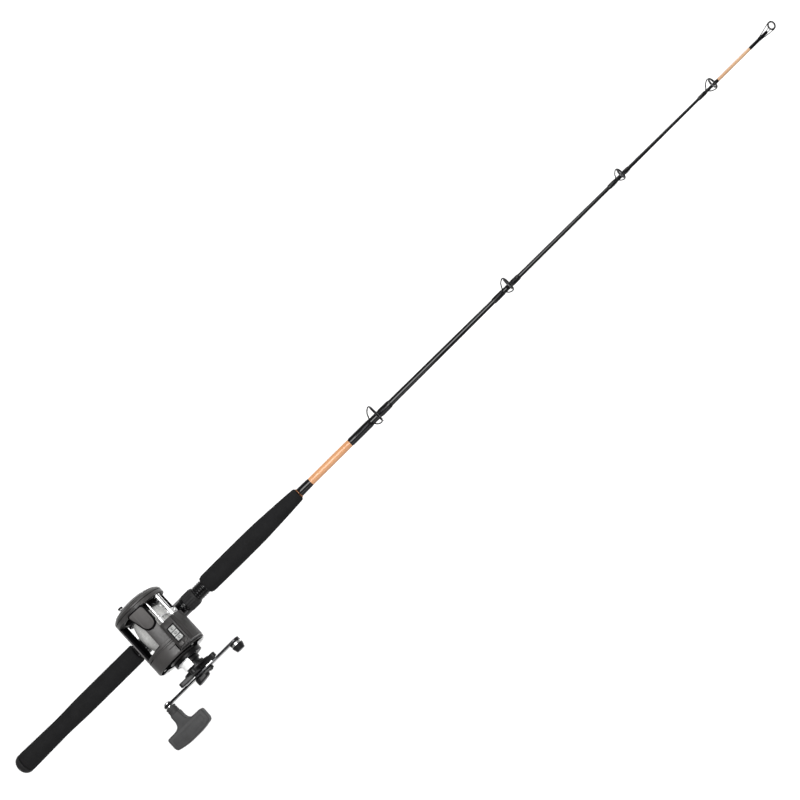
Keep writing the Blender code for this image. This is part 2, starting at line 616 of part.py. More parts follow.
def build_spool():
    left, right = -23.6, 30.8
    outer = [(left, 27.9), (left + 2.6, 27.9), (left + 3.3, 27.2), (left + 3.3, 12.0)]
    outer += [(right - 3.1, 12.0), (right - 3.1, 27.2), (right - 2.4, 27.9), (right, 27.9)]
    part(tube("spool", outer, AXLE_BORE, SPOOL, "-Y", 24), "black_metal")
    ends = (left + 3.6, right - 3.4)
    middle = (ends[0] + ends[1]) / 2
    half = (ends[1] - ends[0]) / 2
    crown = [(middle + half * f, 22.8 + 4.6 * (1 - f * f)) for f in (-1, -0.7, 0, 0.7, 1)]
    part(tube("line_winding", crown, 12.3, SPOOL, "-Y", 24), "line")
    part(rod("spool_shaft", AXLE_RADIUS, -34.5, CRANK_GEARS[1] + 1.5, SPOOL, segments=16), "steel")
    for name, reach in (("bearing_left", (-33.5, -29.9)), ("bearing_right", RIGHT_WALL)):
        ring = [(reach[0] + 0.1, 6.0), (reach[1] - 0.1, 6.0)]
        part(tube(name, ring, AXLE_BORE, SPOOL, "-Y", 20), "steel")
    half_tooth = 0.5
    part(gear("pinion_gear", PINION_TEETH, MODULE_CRANK, (CRANK_GEARS[0] - 1, CRANK_GEARS[1] + 1), AXLE_BORE, SPOOL,
              turned_by=PINION_TEETH * 0.75), "brass")
    part(gear("spool_cog", COG_TEETH, MODULE_WIND, WIND_GEARS, AXLE_BORE, SPOOL, COG_TEETH * WORM_ANGLE / math.tau), "dial")
    facing = 0.5 + WORM_ANGLE / math.tau
    part(gear("idler_gear", IDLER_TEETH, MODULE_WIND, WIND_GEARS, 2.3, IDLER,
              IDLER_TEETH * facing + half_tooth), "dial")
    idler_front = IDLER_TEETH * WORM_ANGLE / math.tau - (IDLER_TEETH * facing + half_tooth)
    part(gear("worm_gear", WORM_TEETH, MODULE_WIND, WIND_GEARS, 3.0, WORM,
              WORM_TEETH * facing + half_tooth + idler_front), "dial")


def build_level_wind():
    reach = (LEFT_WALL[1] + GAP, RIGHT_WALL[0] - GAP)
    casing = tube("worm_tube", [(reach[0], WORM_TUBE_RADIUS), (reach[1], WORM_TUBE_RADIUS)], WORM_TUBE_BORE, WORM, "-Y", 16)
    slot = block("pawl_slot", (0, -27.5, -1.3), (WORM_TUBE_RADIUS + PAST, 26, 1.3), origin=WORM)
    part(cut(casing, slot), "chrome")
    part(rod("guide_rod", GUIDE_ROD_RADIUS, *reach, GUIDE_ROD, segments=12), "chrome")
    lands = [(reach[0] + 1, 2.0)]
    pitch = 6.5
    for i in range(6):
        start = -23 + i * pitch
        lands += [(start, 2.6), (start + 4.5, 2.6), (start + 5.2, 1.9), (start + pitch - 0.3, 1.9)]
    lands += [(16.0, 2.6), (WIND_GEARS[1] + 1, 2.6)]
    part(turned("worm_shaft", [(lands[0][0], 0), *lands, (lands[-1][0], 0)], WORM, "-Y", 8), "steel")

    sleeve_ring = rod("line_guide", 5.8, *CARRIAGE, WORM, segments=16)
    shoe = rod("guide_shoe", 3.5, *CARRIAGE, GUIDE_ROD, segments=14)
    bow = sector(30.0, 34.2, math.degrees(WORM_ANGLE), 54.7, 4)
    fingers = []
    for name, start in (("left", CARRIAGE[0]), ("right", CARRIAGE[1] - FINGER)):
        fingers.append(prism(f"finger_{name}", bow, start, start + FINGER, SPOOL))
    cap = rod("pawl_cap", 3.4, 5.0, 8.6, (WORM.x, -(CARRIAGE[0] + CARRIAGE[1]) / 2, WORM.z), "X", 14)
    holes = [
        rod("tube_hole", WORM_TUBE_RADIUS + GAP, CARRIAGE[0] - PAST, CARRIAGE[1] + PAST, WORM, segments=16),
        rod("rod_hole", GUIDE_ROD_RADIUS + GAP, CARRIAGE[0] - PAST, CARRIAGE[1] + PAST, GUIDE_ROD, segments=12),
    ]
    pawl = rod("pawl", 0.9, 3.0, 7.0, (WORM.x, -(CARRIAGE[0] + CARRIAGE[1]) / 2, WORM.z), "X", 8)
    part(joined(cut(joined(sleeve_ring, shoe, *fingers, cap), *holes), pawl), "chrome")


def build_crank():
    part(rod("drive_shaft", SHAFT_RADIUS, WIND_GEARS[1] - 2, 97.0, CRANK, segments=16), "steel")
    part(gear("main_gear", MAIN_TEETH, MODULE_CRANK, CRANK_GEARS, SHAFT_RADIUS + GAP, CRANK, MAIN_TEETH * 0.25 + 0.5), "brass")

    sleeve_in, neck, hub, step, web, face = STAR
    broad, narrow, wide, disc = STAR_RADII
    path = [(sleeve_in, broad), (neck, broad), (neck, narrow), (hub, narrow), (hub, wide), (step, wide)]
    path += [(step, disc), (web + OVERLAP, disc)]
    star = tube("star_drag", path, SHAFT_RADIUS + GAP, CRANK, "-Y", 18)
    points = []
    arms = 5
    blade = ((-0.5, 15.0), (-0.2, 22.0), (-0.11, STAR_ARM - 1.2), (0, STAR_ARM), (0.11, STAR_ARM - 1.2), (0.2, 22.0))
    for i in range(arms):
        for turn, radius in blade:
            angle = math.tau * (i + turn) / arms + math.radians(90)
            points.append((radius * math.cos(angle), radius * math.sin(angle)))
    arms_plate = prism("star_arms", points, web, face, CRANK)
    bore = rod("star_bore", SHAFT_RADIUS + GAP, web - PAST, face + PAST, CRANK, segments=18)
    part(joined(star, cut(arms_plate, bore)), "matte_black")

    half = [(30, 6.6), (12, 10.2), (-12, 10.2), (-30, 6.2)]  # the arm broadens where the shaft goes through
    outline = [(x + ARM_FRONT, y) for x, y in arc(8.5, -90, 90, 6)] + half
    outline += [(x - ARM_REAR, y) for x, y in arc(7.0, 90, 270, 6)] + [(x, -y) for x, y in reversed(half)]
    arm = prism("handle_arm", outline, *ARM, CRANK)
    past = (ARM[0] - PAST, ARM[1] + PAST)
    knob_at = CRANK - Vector((ARM_REAR, 0, 0))
    weight_at = CRANK + Vector((ARM_FRONT, 0, 0))
    holes = [
        rod("arm_shaft_hole", SHAFT_RADIUS + GAP, *past, CRANK),
        rod("arm_spindle_hole", SPINDLE_RADIUS + GAP, *past, knob_at, segments=12),
        rod("arm_weight_hole", 2.6 + GAP, *past, weight_at, segments=12),
    ]
    part(cut(arm, *holes), "black_metal")

    cap = prism("handle_nut", capsule(8.6, 7.6, 6.5), ARM[1] + GAP, 102.3, CRANK - Vector((6.5, 0, 0)))
    bevel = cap.modifiers.new("Edges", "BEVEL")
    bevel.width = 2.2 * MM
    bevel.segments = 2
    bevel.limit_method = "ANGLE"
    bevel.angle_limit = math.radians(50)
    tab = prism("nut_tab", capsule(7.4, 5.0, 13.0), ARM[1] + GAP, 96.5, CRANK)
    socket = rod("nut_socket", SHAFT_RADIUS + GAP, ARM[1] - PAST, 97.5, CRANK)
    part(cut(joined(cap, tab), socket), "black_metal")

    path = [(ARM[1] + GAP, 0), (ARM[1] + GAP, 8.4), (94.5, 9.2), (98.6, 9.2), (99.2, 8.6), (105.6, 6.6), (106.0, 0)]
    weight = turned("counterweight", path, weight_at, "-Y", 24)
    bolt = rod("weight_bolt", 2.6, ARM[0] - 1.0, ARM[1] + 1.0, weight_at, segments=12)
    part(joined(weight, bolt), "black_metal")

    path = [(ARM[0] - 3.2, 0), (ARM[0] - 3.2, 4.4), (ARM[0] - 1.6, 6.0), (ARM[0] - GAP, 6.0), (ARM[0] - GAP, SPINDLE_RADIUS)]
    path += [(118.0, SPINDLE_RADIUS), (118.0, 0)]
    spindle = turned("knob_spindle", path, knob_at, "-Y", 16)
    washer = rod("spindle_washer", 6.4, ARM[1] + GAP, KNOB[0] - GAP, knob_at, segments=16)
    part(joined(spindle, washer), "chrome")

    stem_end, bar_start, bar_end = KNOB
    stem = [(stem_end, KNOB_STEM), (95.6, KNOB_STEM), (96.2, 7.2), (97.8, 7.2), (98.4, KNOB_STEM)]
    stem += [(bar_start - 6, KNOB_STEM + 0.1), (bar_start - 1.5, 10.5), (bar_start + OVERLAP, 13.0)]
    knob = tube("handle_knob", stem, SPINDLE_RADIUS + GAP, knob_at, "-Y", 16)
    half, thick = KNOB_BAR
    rounded = 4.0
    outline = []
    for cx, cy, start in (
        (half - rounded, thick - rounded, 0),
        (-half + rounded, thick - rounded, 90),
        (-half + rounded, -thick + rounded, 180),
        (half - rounded, -thick + rounded, 270),
    ):
        outline += [(cx + x, cy + y) for x, y in arc(rounded, start, start + 90, 3)]
    bar = prism("knob_bar", outline, bar_start, bar_end, knob_at)
    bevel = bar.modifiers.new("Edges", "BEVEL")
    bevel.width = 3.0 * MM
    bevel.segments = 2
    bevel.limit_method = "ANGLE"
    bevel.angle_limit = math.radians(50)
    flare = rod("knob_bore", SPINDLE_RADIUS + GAP, stem_end - PAST, 118.6, knob_at, segments=16)
    part(cut(joined(knob, bar), flare), "matte_black")


def build_controls():
    pivot = CRANK + Vector((-12.8, 0, 12.8))
    start = BOSS_END + GAP
    hub = rod("free_spool_lever", 4.0, start, 66.6, pivot, segments=16)
    arm = prism("lever_arm", [(-2.6, 2.0), (2.6, -2.6), (17.6, 13.7), (17.6, 15.7), (3.4, 15.7)], start, 66.6, pivot)
    tab = block("lever_tab", (3.4, -77.5, 13.7), (18.8, 0.5 - start, 15.7), 0.4, pivot)
    part(joined(hub, arm, tab), "chrome")

    at = SPOOL + Vector((-19.7, 0, 0))
    path = [(-54.4, 0), (-54.4, 3.0), (-53.8, 3.6), (-51.6, 3.6), (-51.6, 1.4), (-45.9, 1.4), (-45.9, 0)]
    part(turned("clicker_button", path, at, "-Y", 16), "matte_black")


build_handle_parts()
build_seat()
for index, guide in enumerate(GUIDES, 1):
    build_guide(index, *guide)
build_tip_top()
build_frame()
build_plates()
build_counter()
build_spool()
build_level_wind()
build_crank()
build_controls()
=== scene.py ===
import json
import math

import bmesh
import bpy
from mathutils import Matrix, Vector


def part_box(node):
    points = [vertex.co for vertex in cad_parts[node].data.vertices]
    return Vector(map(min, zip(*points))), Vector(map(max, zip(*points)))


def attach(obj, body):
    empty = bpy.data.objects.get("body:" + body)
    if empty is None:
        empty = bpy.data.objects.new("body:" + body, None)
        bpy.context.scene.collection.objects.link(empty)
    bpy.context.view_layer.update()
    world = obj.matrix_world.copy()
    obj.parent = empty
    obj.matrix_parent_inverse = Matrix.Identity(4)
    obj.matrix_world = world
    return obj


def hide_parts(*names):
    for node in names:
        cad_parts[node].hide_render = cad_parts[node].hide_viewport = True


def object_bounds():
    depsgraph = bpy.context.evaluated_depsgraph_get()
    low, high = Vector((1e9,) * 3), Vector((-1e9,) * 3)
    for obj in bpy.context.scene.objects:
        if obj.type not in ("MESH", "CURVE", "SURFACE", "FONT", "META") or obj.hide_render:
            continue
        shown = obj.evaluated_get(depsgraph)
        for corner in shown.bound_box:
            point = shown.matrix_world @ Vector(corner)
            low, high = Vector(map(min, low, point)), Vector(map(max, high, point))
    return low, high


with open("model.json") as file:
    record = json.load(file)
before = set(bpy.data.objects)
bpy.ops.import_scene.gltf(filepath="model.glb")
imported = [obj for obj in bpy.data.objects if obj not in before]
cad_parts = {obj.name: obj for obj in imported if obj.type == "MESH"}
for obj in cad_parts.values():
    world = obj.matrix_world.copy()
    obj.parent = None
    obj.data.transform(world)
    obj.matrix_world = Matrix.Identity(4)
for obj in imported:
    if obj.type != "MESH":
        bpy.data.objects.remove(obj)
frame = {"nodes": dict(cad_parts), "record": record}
cad_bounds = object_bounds()

MM = 0.001
LOW, HIGH = cad_bounds
scene = bpy.context.scene

# Shapes are written in millimetres in the frame of the CAD. On the reel a reach is measured
# towards the crank, so a reach of 30 is y = -30.

AXIS = {
    joint["name"]: Vector(joint["pos_m"]) / MM
    for joint in frame["record"]["behaviour"]["joints"]
    if "pos_m" in joint
}
SPOOL = AXIS["spool_spin"]
CRANK = AXIS["crank_spin"]
WORM = AXIS["worm_spin"]
KNOB = AXIS["knob_spin"]
WHEEL = AXIS["units_spin"]
LEVER = AXIS["lever_turn"]

TURNED = {
    "X": Matrix(((0, 0, 1), (1, 0, 0), (0, 1, 0))),
    "-Y": Matrix(((1, 0, 0), (0, 0, -1), (0, 1, 0))),
    "Z": Matrix.Identity(3),
}


def corners(node):
    low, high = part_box(node)
    return Vector(low) / MM, Vector(high) / MM


def reach_of(node):
    low, high = corners(node)
    return -high.y, -low.y


def axis_of(node):
    """Where the middle of a round node that lies across the reel cuts the plane y = 0."""
    low, high = corners(node)
    return Vector(((low.x + high.x) / 2, 0, (low.z + high.z) / 2))


GUIDE_ROD = axis_of("guide_rod")


# ---------------------------------------------------------------- camera, floor and lights

TILT = math.radians(9)
ROLL = math.radians(44.61)
DISTANCE = 1.95
FRAME_WIDTH = 1.152
FLOOR_DROP = 0.6


def add_camera():
    """Looks down on the rod, a little from the crank side, with the rod on the frame's diagonal."""
    along = Vector((1, 0, 0))
    across = Vector((0, -math.cos(TILT), -math.sin(TILT)))
    back = Vector((0, -math.sin(TILT), math.cos(TILT)))
    right = math.cos(ROLL) * along + math.sin(ROLL) * across
    up = math.sin(ROLL) * along - math.cos(ROLL) * across
    aim = Vector(((LOW.x + HIGH.x) / 2 + 0.0015, -0.0066, 0.0))
    data = bpy.data.cameras.new("camera")
    data.sensor_width = 36
    data.lens = 36 * DISTANCE / FRAME_WIDTH
    data.clip_end = 50
    camera = bpy.data.objects.new("camera", data)
    turn = Matrix((right, up, back)).transposed()
    camera.matrix_world = Matrix.Translation(aim + back * DISTANCE) @ turn.to_4x4()
    scene.collection.objects.link(camera)
    scene.camera = camera


def add_studio(floor_look):
    scene.view_settings.view_transform = "Standard"
    scene.view_settings.look = "None"
    world = bpy.data.worlds.new("studio")
    world.use_nodes = True
    world.node_tree.nodes["Background"].inputs["Color"].default_value = (1, 1, 1, 1)
    world.node_tree.nodes["Background"].inputs["Strength"].default_value = 0.33
    scene.world = world
    size = 30
    outline = [(-size, -size, 0), (size, -size, 0), (size, size, 0), (-size, size, 0)]
    mesh = bpy.data.meshes.new("floor")
    mesh.from_pydata(outline, [], [(0, 1, 2, 3)])
    floor = bpy.data.objects.new("floor", mesh)
    floor.location.z = LOW.z - FLOOR_DROP
    floor.data.materials.append(floor_look)
    scene.collection.objects.link(floor)
    middle = (LOW + HIGH) / 2
    for name, place, target, width, height, power in (
        ("key", (0.1, 0.3, 2.7), (0, 0, 0), 1.6, 1.6, 92),
        ("rim", (1.2, 1.9, 1.5), (0, 0, 0), 1.2, 1.2, 22),
        ("fill", (-0.6, -2.2, 1.2), (-0.4, 0, 0), 1.6, 1.0, 14),
    ):
        data = bpy.data.lights.new(name, "AREA")
        data.shape = "RECTANGLE"
        data.size = width
        data.size_y = height
        data.energy = power
        lamp = bpy.data.objects.new(name, data)
        lamp.location = middle + Vector(place)
        aim = middle + Vector(target) - lamp.location
        lamp.rotation_euler = aim.to_track_quat("-Z", "Y").to_euler()
        scene.collection.objects.link(lamp)


# ---------------------------------------------------------------- materials


class Look:
    """A Principled material built up in steps, on the object's own coordinates in metres."""

    def __init__(self, name, colour, roughness, metallic=0.0, specular=0.5, coat=0.0,
            coat_roughness=0.05):
        self.material = bpy.data.materials.new(name)
        self.material.use_nodes = True
        self.nodes = self.material.node_tree.nodes
        self.links = self.material.node_tree.links
        self.shader = self.nodes["Principled BSDF"]
        self.place = self.nodes.new("ShaderNodeTexCoord").outputs["Object"]
        self.normal = None
        self.set("Base Color", (*colour, 1))
        self.set("Roughness", roughness)
        self.set("Metallic", metallic)
        self.set("Specular IOR Level", specular)
        self.set("Coat Weight", coat)
        self.set("Coat Roughness", coat_roughness)

    def set(self, socket, value):
        self.shader.inputs[socket].default_value = value

    def stretched(self, scale):
        mapping = self.nodes.new("ShaderNodeMapping")
        mapping.inputs["Scale"].default_value = scale
        self.links.new(self.place, mapping.inputs["Vector"])
        return mapping.outputs["Vector"]

    def noise(self, size, detail=3.0, stretch=(1, 1, 1)):
        """Soft noise whose features are about size millimetres."""
        node = self.nodes.new("ShaderNodeTexNoise")
        node.inputs["Scale"].default_value = 1 / (size * MM)
        node.inputs["Detail"].default_value = detail
        self.links.new(self.stretched(stretch), node.inputs["Vector"])
        return node.outputs["Fac"]

    def cells(self, size):
        node = self.nodes.new("ShaderNodeTexVoronoi")
        node.inputs["Scale"].default_value = 1 / (size * MM)
        self.links.new(self.stretched((1, 1, 1)), node.inputs["Vector"])
        return node.outputs["Distance"]

    def bands(self, pitch, axis, stretch=(1, 1, 1), distortion=0.0):
        """Parallel ridges a pitch apart along an axis."""
        node = self.nodes.new("ShaderNodeTexWave")
        node.wave_type = "BANDS"
        node.bands_direction = axis
        node.wave_profile = "SIN"
        node.inputs["Scale"].default_value = math.pi / (10 * pitch * MM)
        node.inputs["Distortion"].default_value = distortion
        node.inputs["Detail"].default_value = 1.0
        self.links.new(self.stretched(stretch), node.inputs["Vector"])
        return node.outputs["Fac"]

    def ranged(self, value, low, high, start=0.3, stop=0.7):
        node = self.nodes.new("ShaderNodeMapRange")
        node.inputs["From Min"].default_value = start
        node.inputs["From Max"].default_value = stop
        node.inputs["To Min"].default_value = low
        node.inputs["To Max"].default_value = high
        self.links.new(value, node.inputs["Value"])
        return node.outputs["Result"]

    def tint(self, value, colour, low=0.3, high=0.7, most=1.0):
        """Blends towards a colour where the value is high."""
        mix = self.nodes.new("ShaderNodeMix")
        mix.data_type = "RGBA"
        before = self.shader.inputs["Base Color"]
        if before.is_linked:
            self.links.new(before.links[0].from_socket, mix.inputs["A"])
        else:
            mix.inputs["A"].default_value = before.default_value
        mix.inputs["B"].default_value = (*colour, 1)
        self.links.new(self.ranged(value, 0, most, low, high), mix.inputs["Factor"])
        self.links.new(mix.outputs["Result"], before)
        return self

    def rough(self, value, low, high):
        self.links.new(self.ranged(value, low, high), self.shader.inputs["Roughness"])
        return self

    def bump(self, value, depth, strength=1.0):
        """Relief, depth millimetres deep."""
        node = self.nodes.new("ShaderNodeBump")
        node.inputs["Strength"].default_value = strength
        node.inputs["Distance"].default_value = depth * MM
        self.links.new(value, node.inputs["Height"])
        if self.normal:
            self.links.new(self.normal, node.inputs["Normal"])
        self.normal = node.outputs["Normal"]
        self.links.new(self.normal, self.shader.inputs["Normal"])
        return self

    def edges(self, colour, most=0.6):
        """Wear along the sharp edges."""
        worn = self.nodes.new("ShaderNodeNewGeometry").outputs["Pointiness"]
        return self.tint(worn, colour, 0.53, 0.62, most)


def shaded(colour, factor):
    return tuple(channel * factor for channel in colour)


def foam_look():
    look = Look("foam", (0.0075, 0.0075, 0.0078), 0.9, specular=0.08)
    look.tint(look.noise(14), (0.0105, 0.0105, 0.011))
    # Lighter on the cell walls and darker in the pits, where the bump is low: painted shade in the
    # pores.
    look.tint(look.cells(0.55), (0.0165, 0.0165, 0.017), 0.45, 0.8, 0.8)
    look.rough(look.noise(3), 0.8, 0.97)
    return look.bump(look.cells(0.55), 0.12, 0.8).bump(look.noise(2.2), 0.12, 0.5).material


def rubber_look(name, colour, size=0.4):
    look = Look(name, colour, 0.6, specular=0.3)
    look.tint(look.noise(9), shaded(colour, 1.3))
    look.rough(look.noise(2), 0.5, 0.72)
    look.edges(shaded(colour, 2.0), 0.5)
    return look.bump(look.noise(size), 0.05, 0.7).bump(look.noise(5), 0.08, 0.3).material


def gloss_look(name, colour):
    look = Look(name, colour, 0.2, specular=0.02, coat=0.6, coat_roughness=0.04)
    look.tint(look.noise(20, stretch=(0.2, 1, 1)), shaded(colour, 1.6))
    look.rough(look.noise(5, stretch=(0.2, 1, 1)), 0.13, 0.24)
    return look.bump(look.noise(3, stretch=(0.3, 1, 1)), 0.02, 0.4).material


def thread_look(name, colour, pale, dark, coat=0.5, specular=0.35):
    """Thread laid side by side round the blank, under clear finish."""
    look = Look(name, colour, 0.36, specular=specular, coat=coat, coat_roughness=0.05)
    look.tint(look.noise(12, stretch=(0.25, 1, 1)), pale, most=0.7)
    # Darker in the grooves between the turns, where the bump is low: painted shade.
    look.tint(look.bands(0.42, "X", distortion=0.3), dark, 0.15, 0.0, 0.55)
    look.rough(look.noise(2, stretch=(3, 1, 1)), 0.3, 0.45)
    return look.bump(look.bands(0.42, "X", distortion=0.3), 0.05, 0.6).bump(look.noise(6), 0.05,
        0.3).material


def moulding_look(name, colour, rough=(0.36, 0.5), specular=0.35, pearl=1.25):
    """Filled plastic with a fine spark-eroded grain and slightly polished edges."""
    look = Look(name, colour, rough[0], specular=specular)
    look.tint(look.noise(16), shaded(colour, pearl))
    look.tint(look.noise(0.5, 1), shaded(colour, pearl * 1.25), 0.5, 0.8, 0.6)
    look.edges(shaded(colour, 2.2), 0.55)
    look.rough(look.noise(2.5), *rough)
    return look.bump(look.noise(0.45, 2), 0.035, 0.6).bump(look.noise(8), 0.06, 0.25).material


def metal_look(name, colour, rough, brushed=False, worn=None, scale=0.02):
    look = Look(name, colour, rough[0], metallic=1.0, specular=0.5)
    look.tint(look.noise(7), shaded(colour, 0.82))
    stretch = (1, 0.04, 1) if brushed else (1, 1, 1)
    look.rough(look.noise(1.6, 3, stretch), *rough)
    if worn:
        look.edges(worn, 0.7)
    return look.bump(look.noise(0.5, 2, stretch), scale, 0.5).material


def ceramic_look():
    look = Look("ceramic", (0.03, 0.03, 0.032), 0.16, specular=0.4, coat=0.2)
    look.tint(look.noise(2.5), (0.05, 0.05, 0.052))
    look.rough(look.noise(1), 0.1, 0.24)
    return look.bump(look.noise(0.6), 0.01, 0.4).material


def line_look():
    """Light grey monofilament: the turns lie side by side and cross at a slant."""
    look = Look("line", (0.52, 0.52, 0.505), 0.32, specular=0.5, coat=0.15)
    look.set("Subsurface Weight", 0.08)
    look.set("Subsurface Radius", (0.002, 0.002, 0.002))
    look.tint(look.noise(9, stretch=(1, 0.5, 1)), (0.38, 0.38, 0.37))
    look.tint(look.bands(0.9, "Y", distortion=1.2), (0.24, 0.24, 0.235), 0.3, 0.0, 0.6)
    # Pale streaks along the turns: the strands' own lighter tone, and painted sheen.
    look.tint(look.noise(1.2, stretch=(0.15, 1.6, 0.15)), (0.68, 0.68, 0.66), 0.5, 0.75, 0.7)
    look.rough(look.noise(3), 0.25, 0.42)
    look.bump(look.bands(0.45, "Y", distortion=0.8), 0.08, 0.7)
    return look.bump(look.noise(0.9, stretch=(0.2, 1, 0.2)), 0.08, 0.6).material


def dial_look(name, colour):
    look = Look(name, colour, 0.45, specular=0.4)
    look.tint(look.noise(4), shaded(colour, 0.86))
    look.rough(look.noise(2), 0.38, 0.55)
    return look.bump(look.noise(0.4), 0.015, 0.5).material


def glass_look():
    look = Look("window_glass", (0.8, 0.83, 0.83), 0.06, specular=0.5)
    look.set("Alpha", 0.06)
    look.tint(look.noise(5), (0.7, 0.74, 0.74))
    look.rough(look.noise(3), 0.04, 0.1)
    return look.bump(look.noise(6), 0.01, 0.3).material


def floor_material():
    return Look("floor", (0.98, 0.98, 0.98), 0.85, specular=0.1).material


GRAPHITE = (0.034, 0.0322, 0.0315)
BLACK = (0.0045, 0.0045, 0.0048)
LOOKS = {
    "foam": foam_look(),
    "rubber": rubber_look("butt_rubber", (0.0065, 0.0065, 0.0068)),
    "soft_touch": rubber_look("soft_touch", (0.027, 0.027, 0.0275), 0.35),
    "nut_black": rubber_look("nut_black", (0.0065, 0.0065, 0.0068), 0.35),
    "gloss": gloss_look("gloss_black", (0.0012, 0.0012, 0.0014)),
    "seat": gloss_look("seat_black", (0.0016, 0.0016, 0.0018)),
    "black_thread": thread_look(
        "black_thread", (0.0022, 0.0022, 0.0025), (0.004, 0.004, 0.0044), (0.001, 0.001,
            0.001), 0.5, 0.02
    ),
    "orange_thread": thread_look("orange_thread", (0.50, 0.225, 0.09), (0.60, 0.31, 0.15),
        (0.30, 0.11, 0.035)),
    "pale_orange_thread": thread_look("pale_orange_thread", (0.47, 0.27, 0.145), (0.56, 0.36, 0.21),
        (0.28, 0.14, 0.06)),
    "copper": metal_look("copper", (0.28, 0.12, 0.055), (0.2, 0.34)),
    "graphite": moulding_look("graphite", GRAPHITE),
    "graphite_rim": moulding_look("graphite_rim", shaded(GRAPHITE, 0.8), (0.28, 0.4), 0.4),
    "graphite_dark": moulding_look("graphite_dark", shaded(GRAPHITE, 0.6), (0.34, 0.48), 0.25),
    "graphite_light": moulding_look("graphite_light", shaded(GRAPHITE, 1.3), (0.5, 0.62), 0.2, 1.1),
    # Near-black without specular: painted shade for grooves, gaps and faces in shadow, and the dark
    # seams and window bezel.
    "recess": moulding_look("painted_shade_and_seams_black", (0.003, 0.003, 0.0032), (0.85, 0.95), 0.0, 1.5),
    "black": moulding_look("black_moulding", BLACK, (0.3, 0.44), 0.25, 1.5),
    "black_metal": metal_look("black_metal", (0.03, 0.03, 0.032), (0.2, 0.34), worn=(0.3, 0.3, 0.3)),
    "guide_metal": metal_look("guide_metal", (0.012, 0.012, 0.013), (0.22, 0.36)),
    "chrome": metal_look("chrome", (0.86, 0.86, 0.86), (0.06, 0.16), scale=0.008),
    "satin": metal_look("satin", (0.88, 0.88, 0.88), (0.38, 0.52)),
    "steel": metal_look("steel", (0.48, 0.48, 0.48), (0.24, 0.4), brushed=True),
    "brass": metal_look("brass", (0.60, 0.41, 0.15), (0.22, 0.36), brushed=True),
    "ceramic": ceramic_look(),
    "line": line_look(),
    "dial": dial_look("dial_white", (0.30, 0.30, 0.29)),
    "numeral": dial_look("numeral_black", (0.006, 0.006, 0.006)),
    "glass": glass_look(),
}

# ---------------------------------------------------------------- shapes


def soft(points, size, closed=False, steps=3):
    """The same outline with each corner rounded off, size back from the corner at most."""
    if not size:
        return [tuple(point) for point in points]
    rounded = []
    count = len(points)
    for i, point in enumerate(points):
        here = Vector(point)
        before = Vector(points[i - 1]) - here
        after = Vector(points[(i + 1) % count]) - here
        inside = closed or 0 < i < count - 1
        if not inside or min(before.length,
                after.length) < 1e-6 or before.angle(-after) < math.radians(12):
            rounded.append(tuple(point))
            continue
        back = min(size, 0.45 * before.length, 0.45 * after.length)
        start = here + before.normalized() * back
        end = here + after.normalized() * back
        for k in range(steps + 1):
            f = k / steps
            rounded.append(tuple(start * (1 - f) ** 2 + here * 2 * f * (1 - f) + end * f * f))
    return rounded


def smooth(points, step):
    """A smooth curve through the points, with a point about every step."""
    found = []
    places = [Vector(p) for p in points]
    for i in range(len(places) - 1):
        a, b = places[max(i - 1, 0)], places[i]
        c, d = places[i + 1], places[min(i + 2, len(places) - 1)]
        count = max(1, round((c - b).length / step))
        for k in range(count):
            f = k / count
            cubic = (3 * b - a - 3 * c + d) * f**3
            found.append(0.5 * (2 * b + (c - a) * f + (2 * a - 5 * b + 4 * c - d) * f * f + cubic))
    found.append(places[-1])
    return [tuple(p) for p in found]


def arc(radius, start, end, steps=24):
    turns = [math.radians(start + (end - start) * i / steps) for i in range(steps + 1)]
    return [(radius * math.cos(a), radius * math.sin(a)) for a in turns]


def sector(inner, outer, start, end, steps=24):
    return arc(outer, start, end, steps) + arc(inner, end, start, steps)


def made(name, shape, origin=(0, 0, 0), along="Z"):
    """An object from a shape in millimetres, with its mesh in place and its own origin at zero."""
    move = Matrix.Translation(Vector(origin)) @ TURNED[along].to_4x4()
    bmesh.ops.transform(shape, matrix=Matrix.Scale(MM, 4) @ move, verts=shape.verts)
    bmesh.ops.recalc_face_normals(shape, faces=shape.faces)
    mesh = bpy.data.meshes.new(name)
    shape.to_mesh(mesh)
    shape.free()
    obj = bpy.data.objects.new(name, mesh)
    scene.collection.objects.link(obj)
    return obj


def lathe(name, path, origin=(0, 0, 0), along="X", segments=96, soften=0.4, ripple=None):
    """A path of (reach, radius) turned about the axis, from axis to axis or as a closed ring.
    ripple changes the radius by reach and angle, for threads, ribs and turns of line."""
    closed = path[0][1] > 0
    shape = bmesh.new()
    rings = []
    for reach, radius in soft(path, soften, closed):
        if radius < 1e-6:
            rings.append([shape.verts.new((0, 0, reach))])
            continue
        ring = []
        for i in range(segments):
            angle = math.tau * i / segments
            wide = ripple(reach, radius, angle) if ripple else radius
            ring.append(shape.verts.new((wide * math.cos(angle), wide * math.sin(angle), reach)))
        rings.append(ring)
    pairs = list(zip(rings, rings[1:]))
    if closed:
        pairs.append((rings[-1], rings[0]))
    for a, b in pairs:
        for i in range(segments):
            j = (i + 1) % segments
            face = [a[i % len(a)], a[j % len(a)], b[j % len(b)], b[i % len(b)]]
            face = list(dict.fromkeys(face))
            if len(face) > 2:
                shape.faces.new(face)
    return made(name, shape, origin, along)


def ring_path(start, end, outer, inner):
    return [(start, outer), (end, outer), (end, inner), (start, inner)]


def disc_path(start, end, radius):
    return [(start, 0), (start, radius), (end, radius), (end, 0)]


def settled(obj):
    """The object with its modifiers applied."""
    graph = bpy.context.evaluated_depsgraph_get()
    graph.update()
    mesh = bpy.data.meshes.new_from_object(obj.evaluated_get(graph))
    old = obj.data
    obj.modifiers.clear()
    obj.data = mesh
    bpy.data.meshes.remove(old)
    return obj


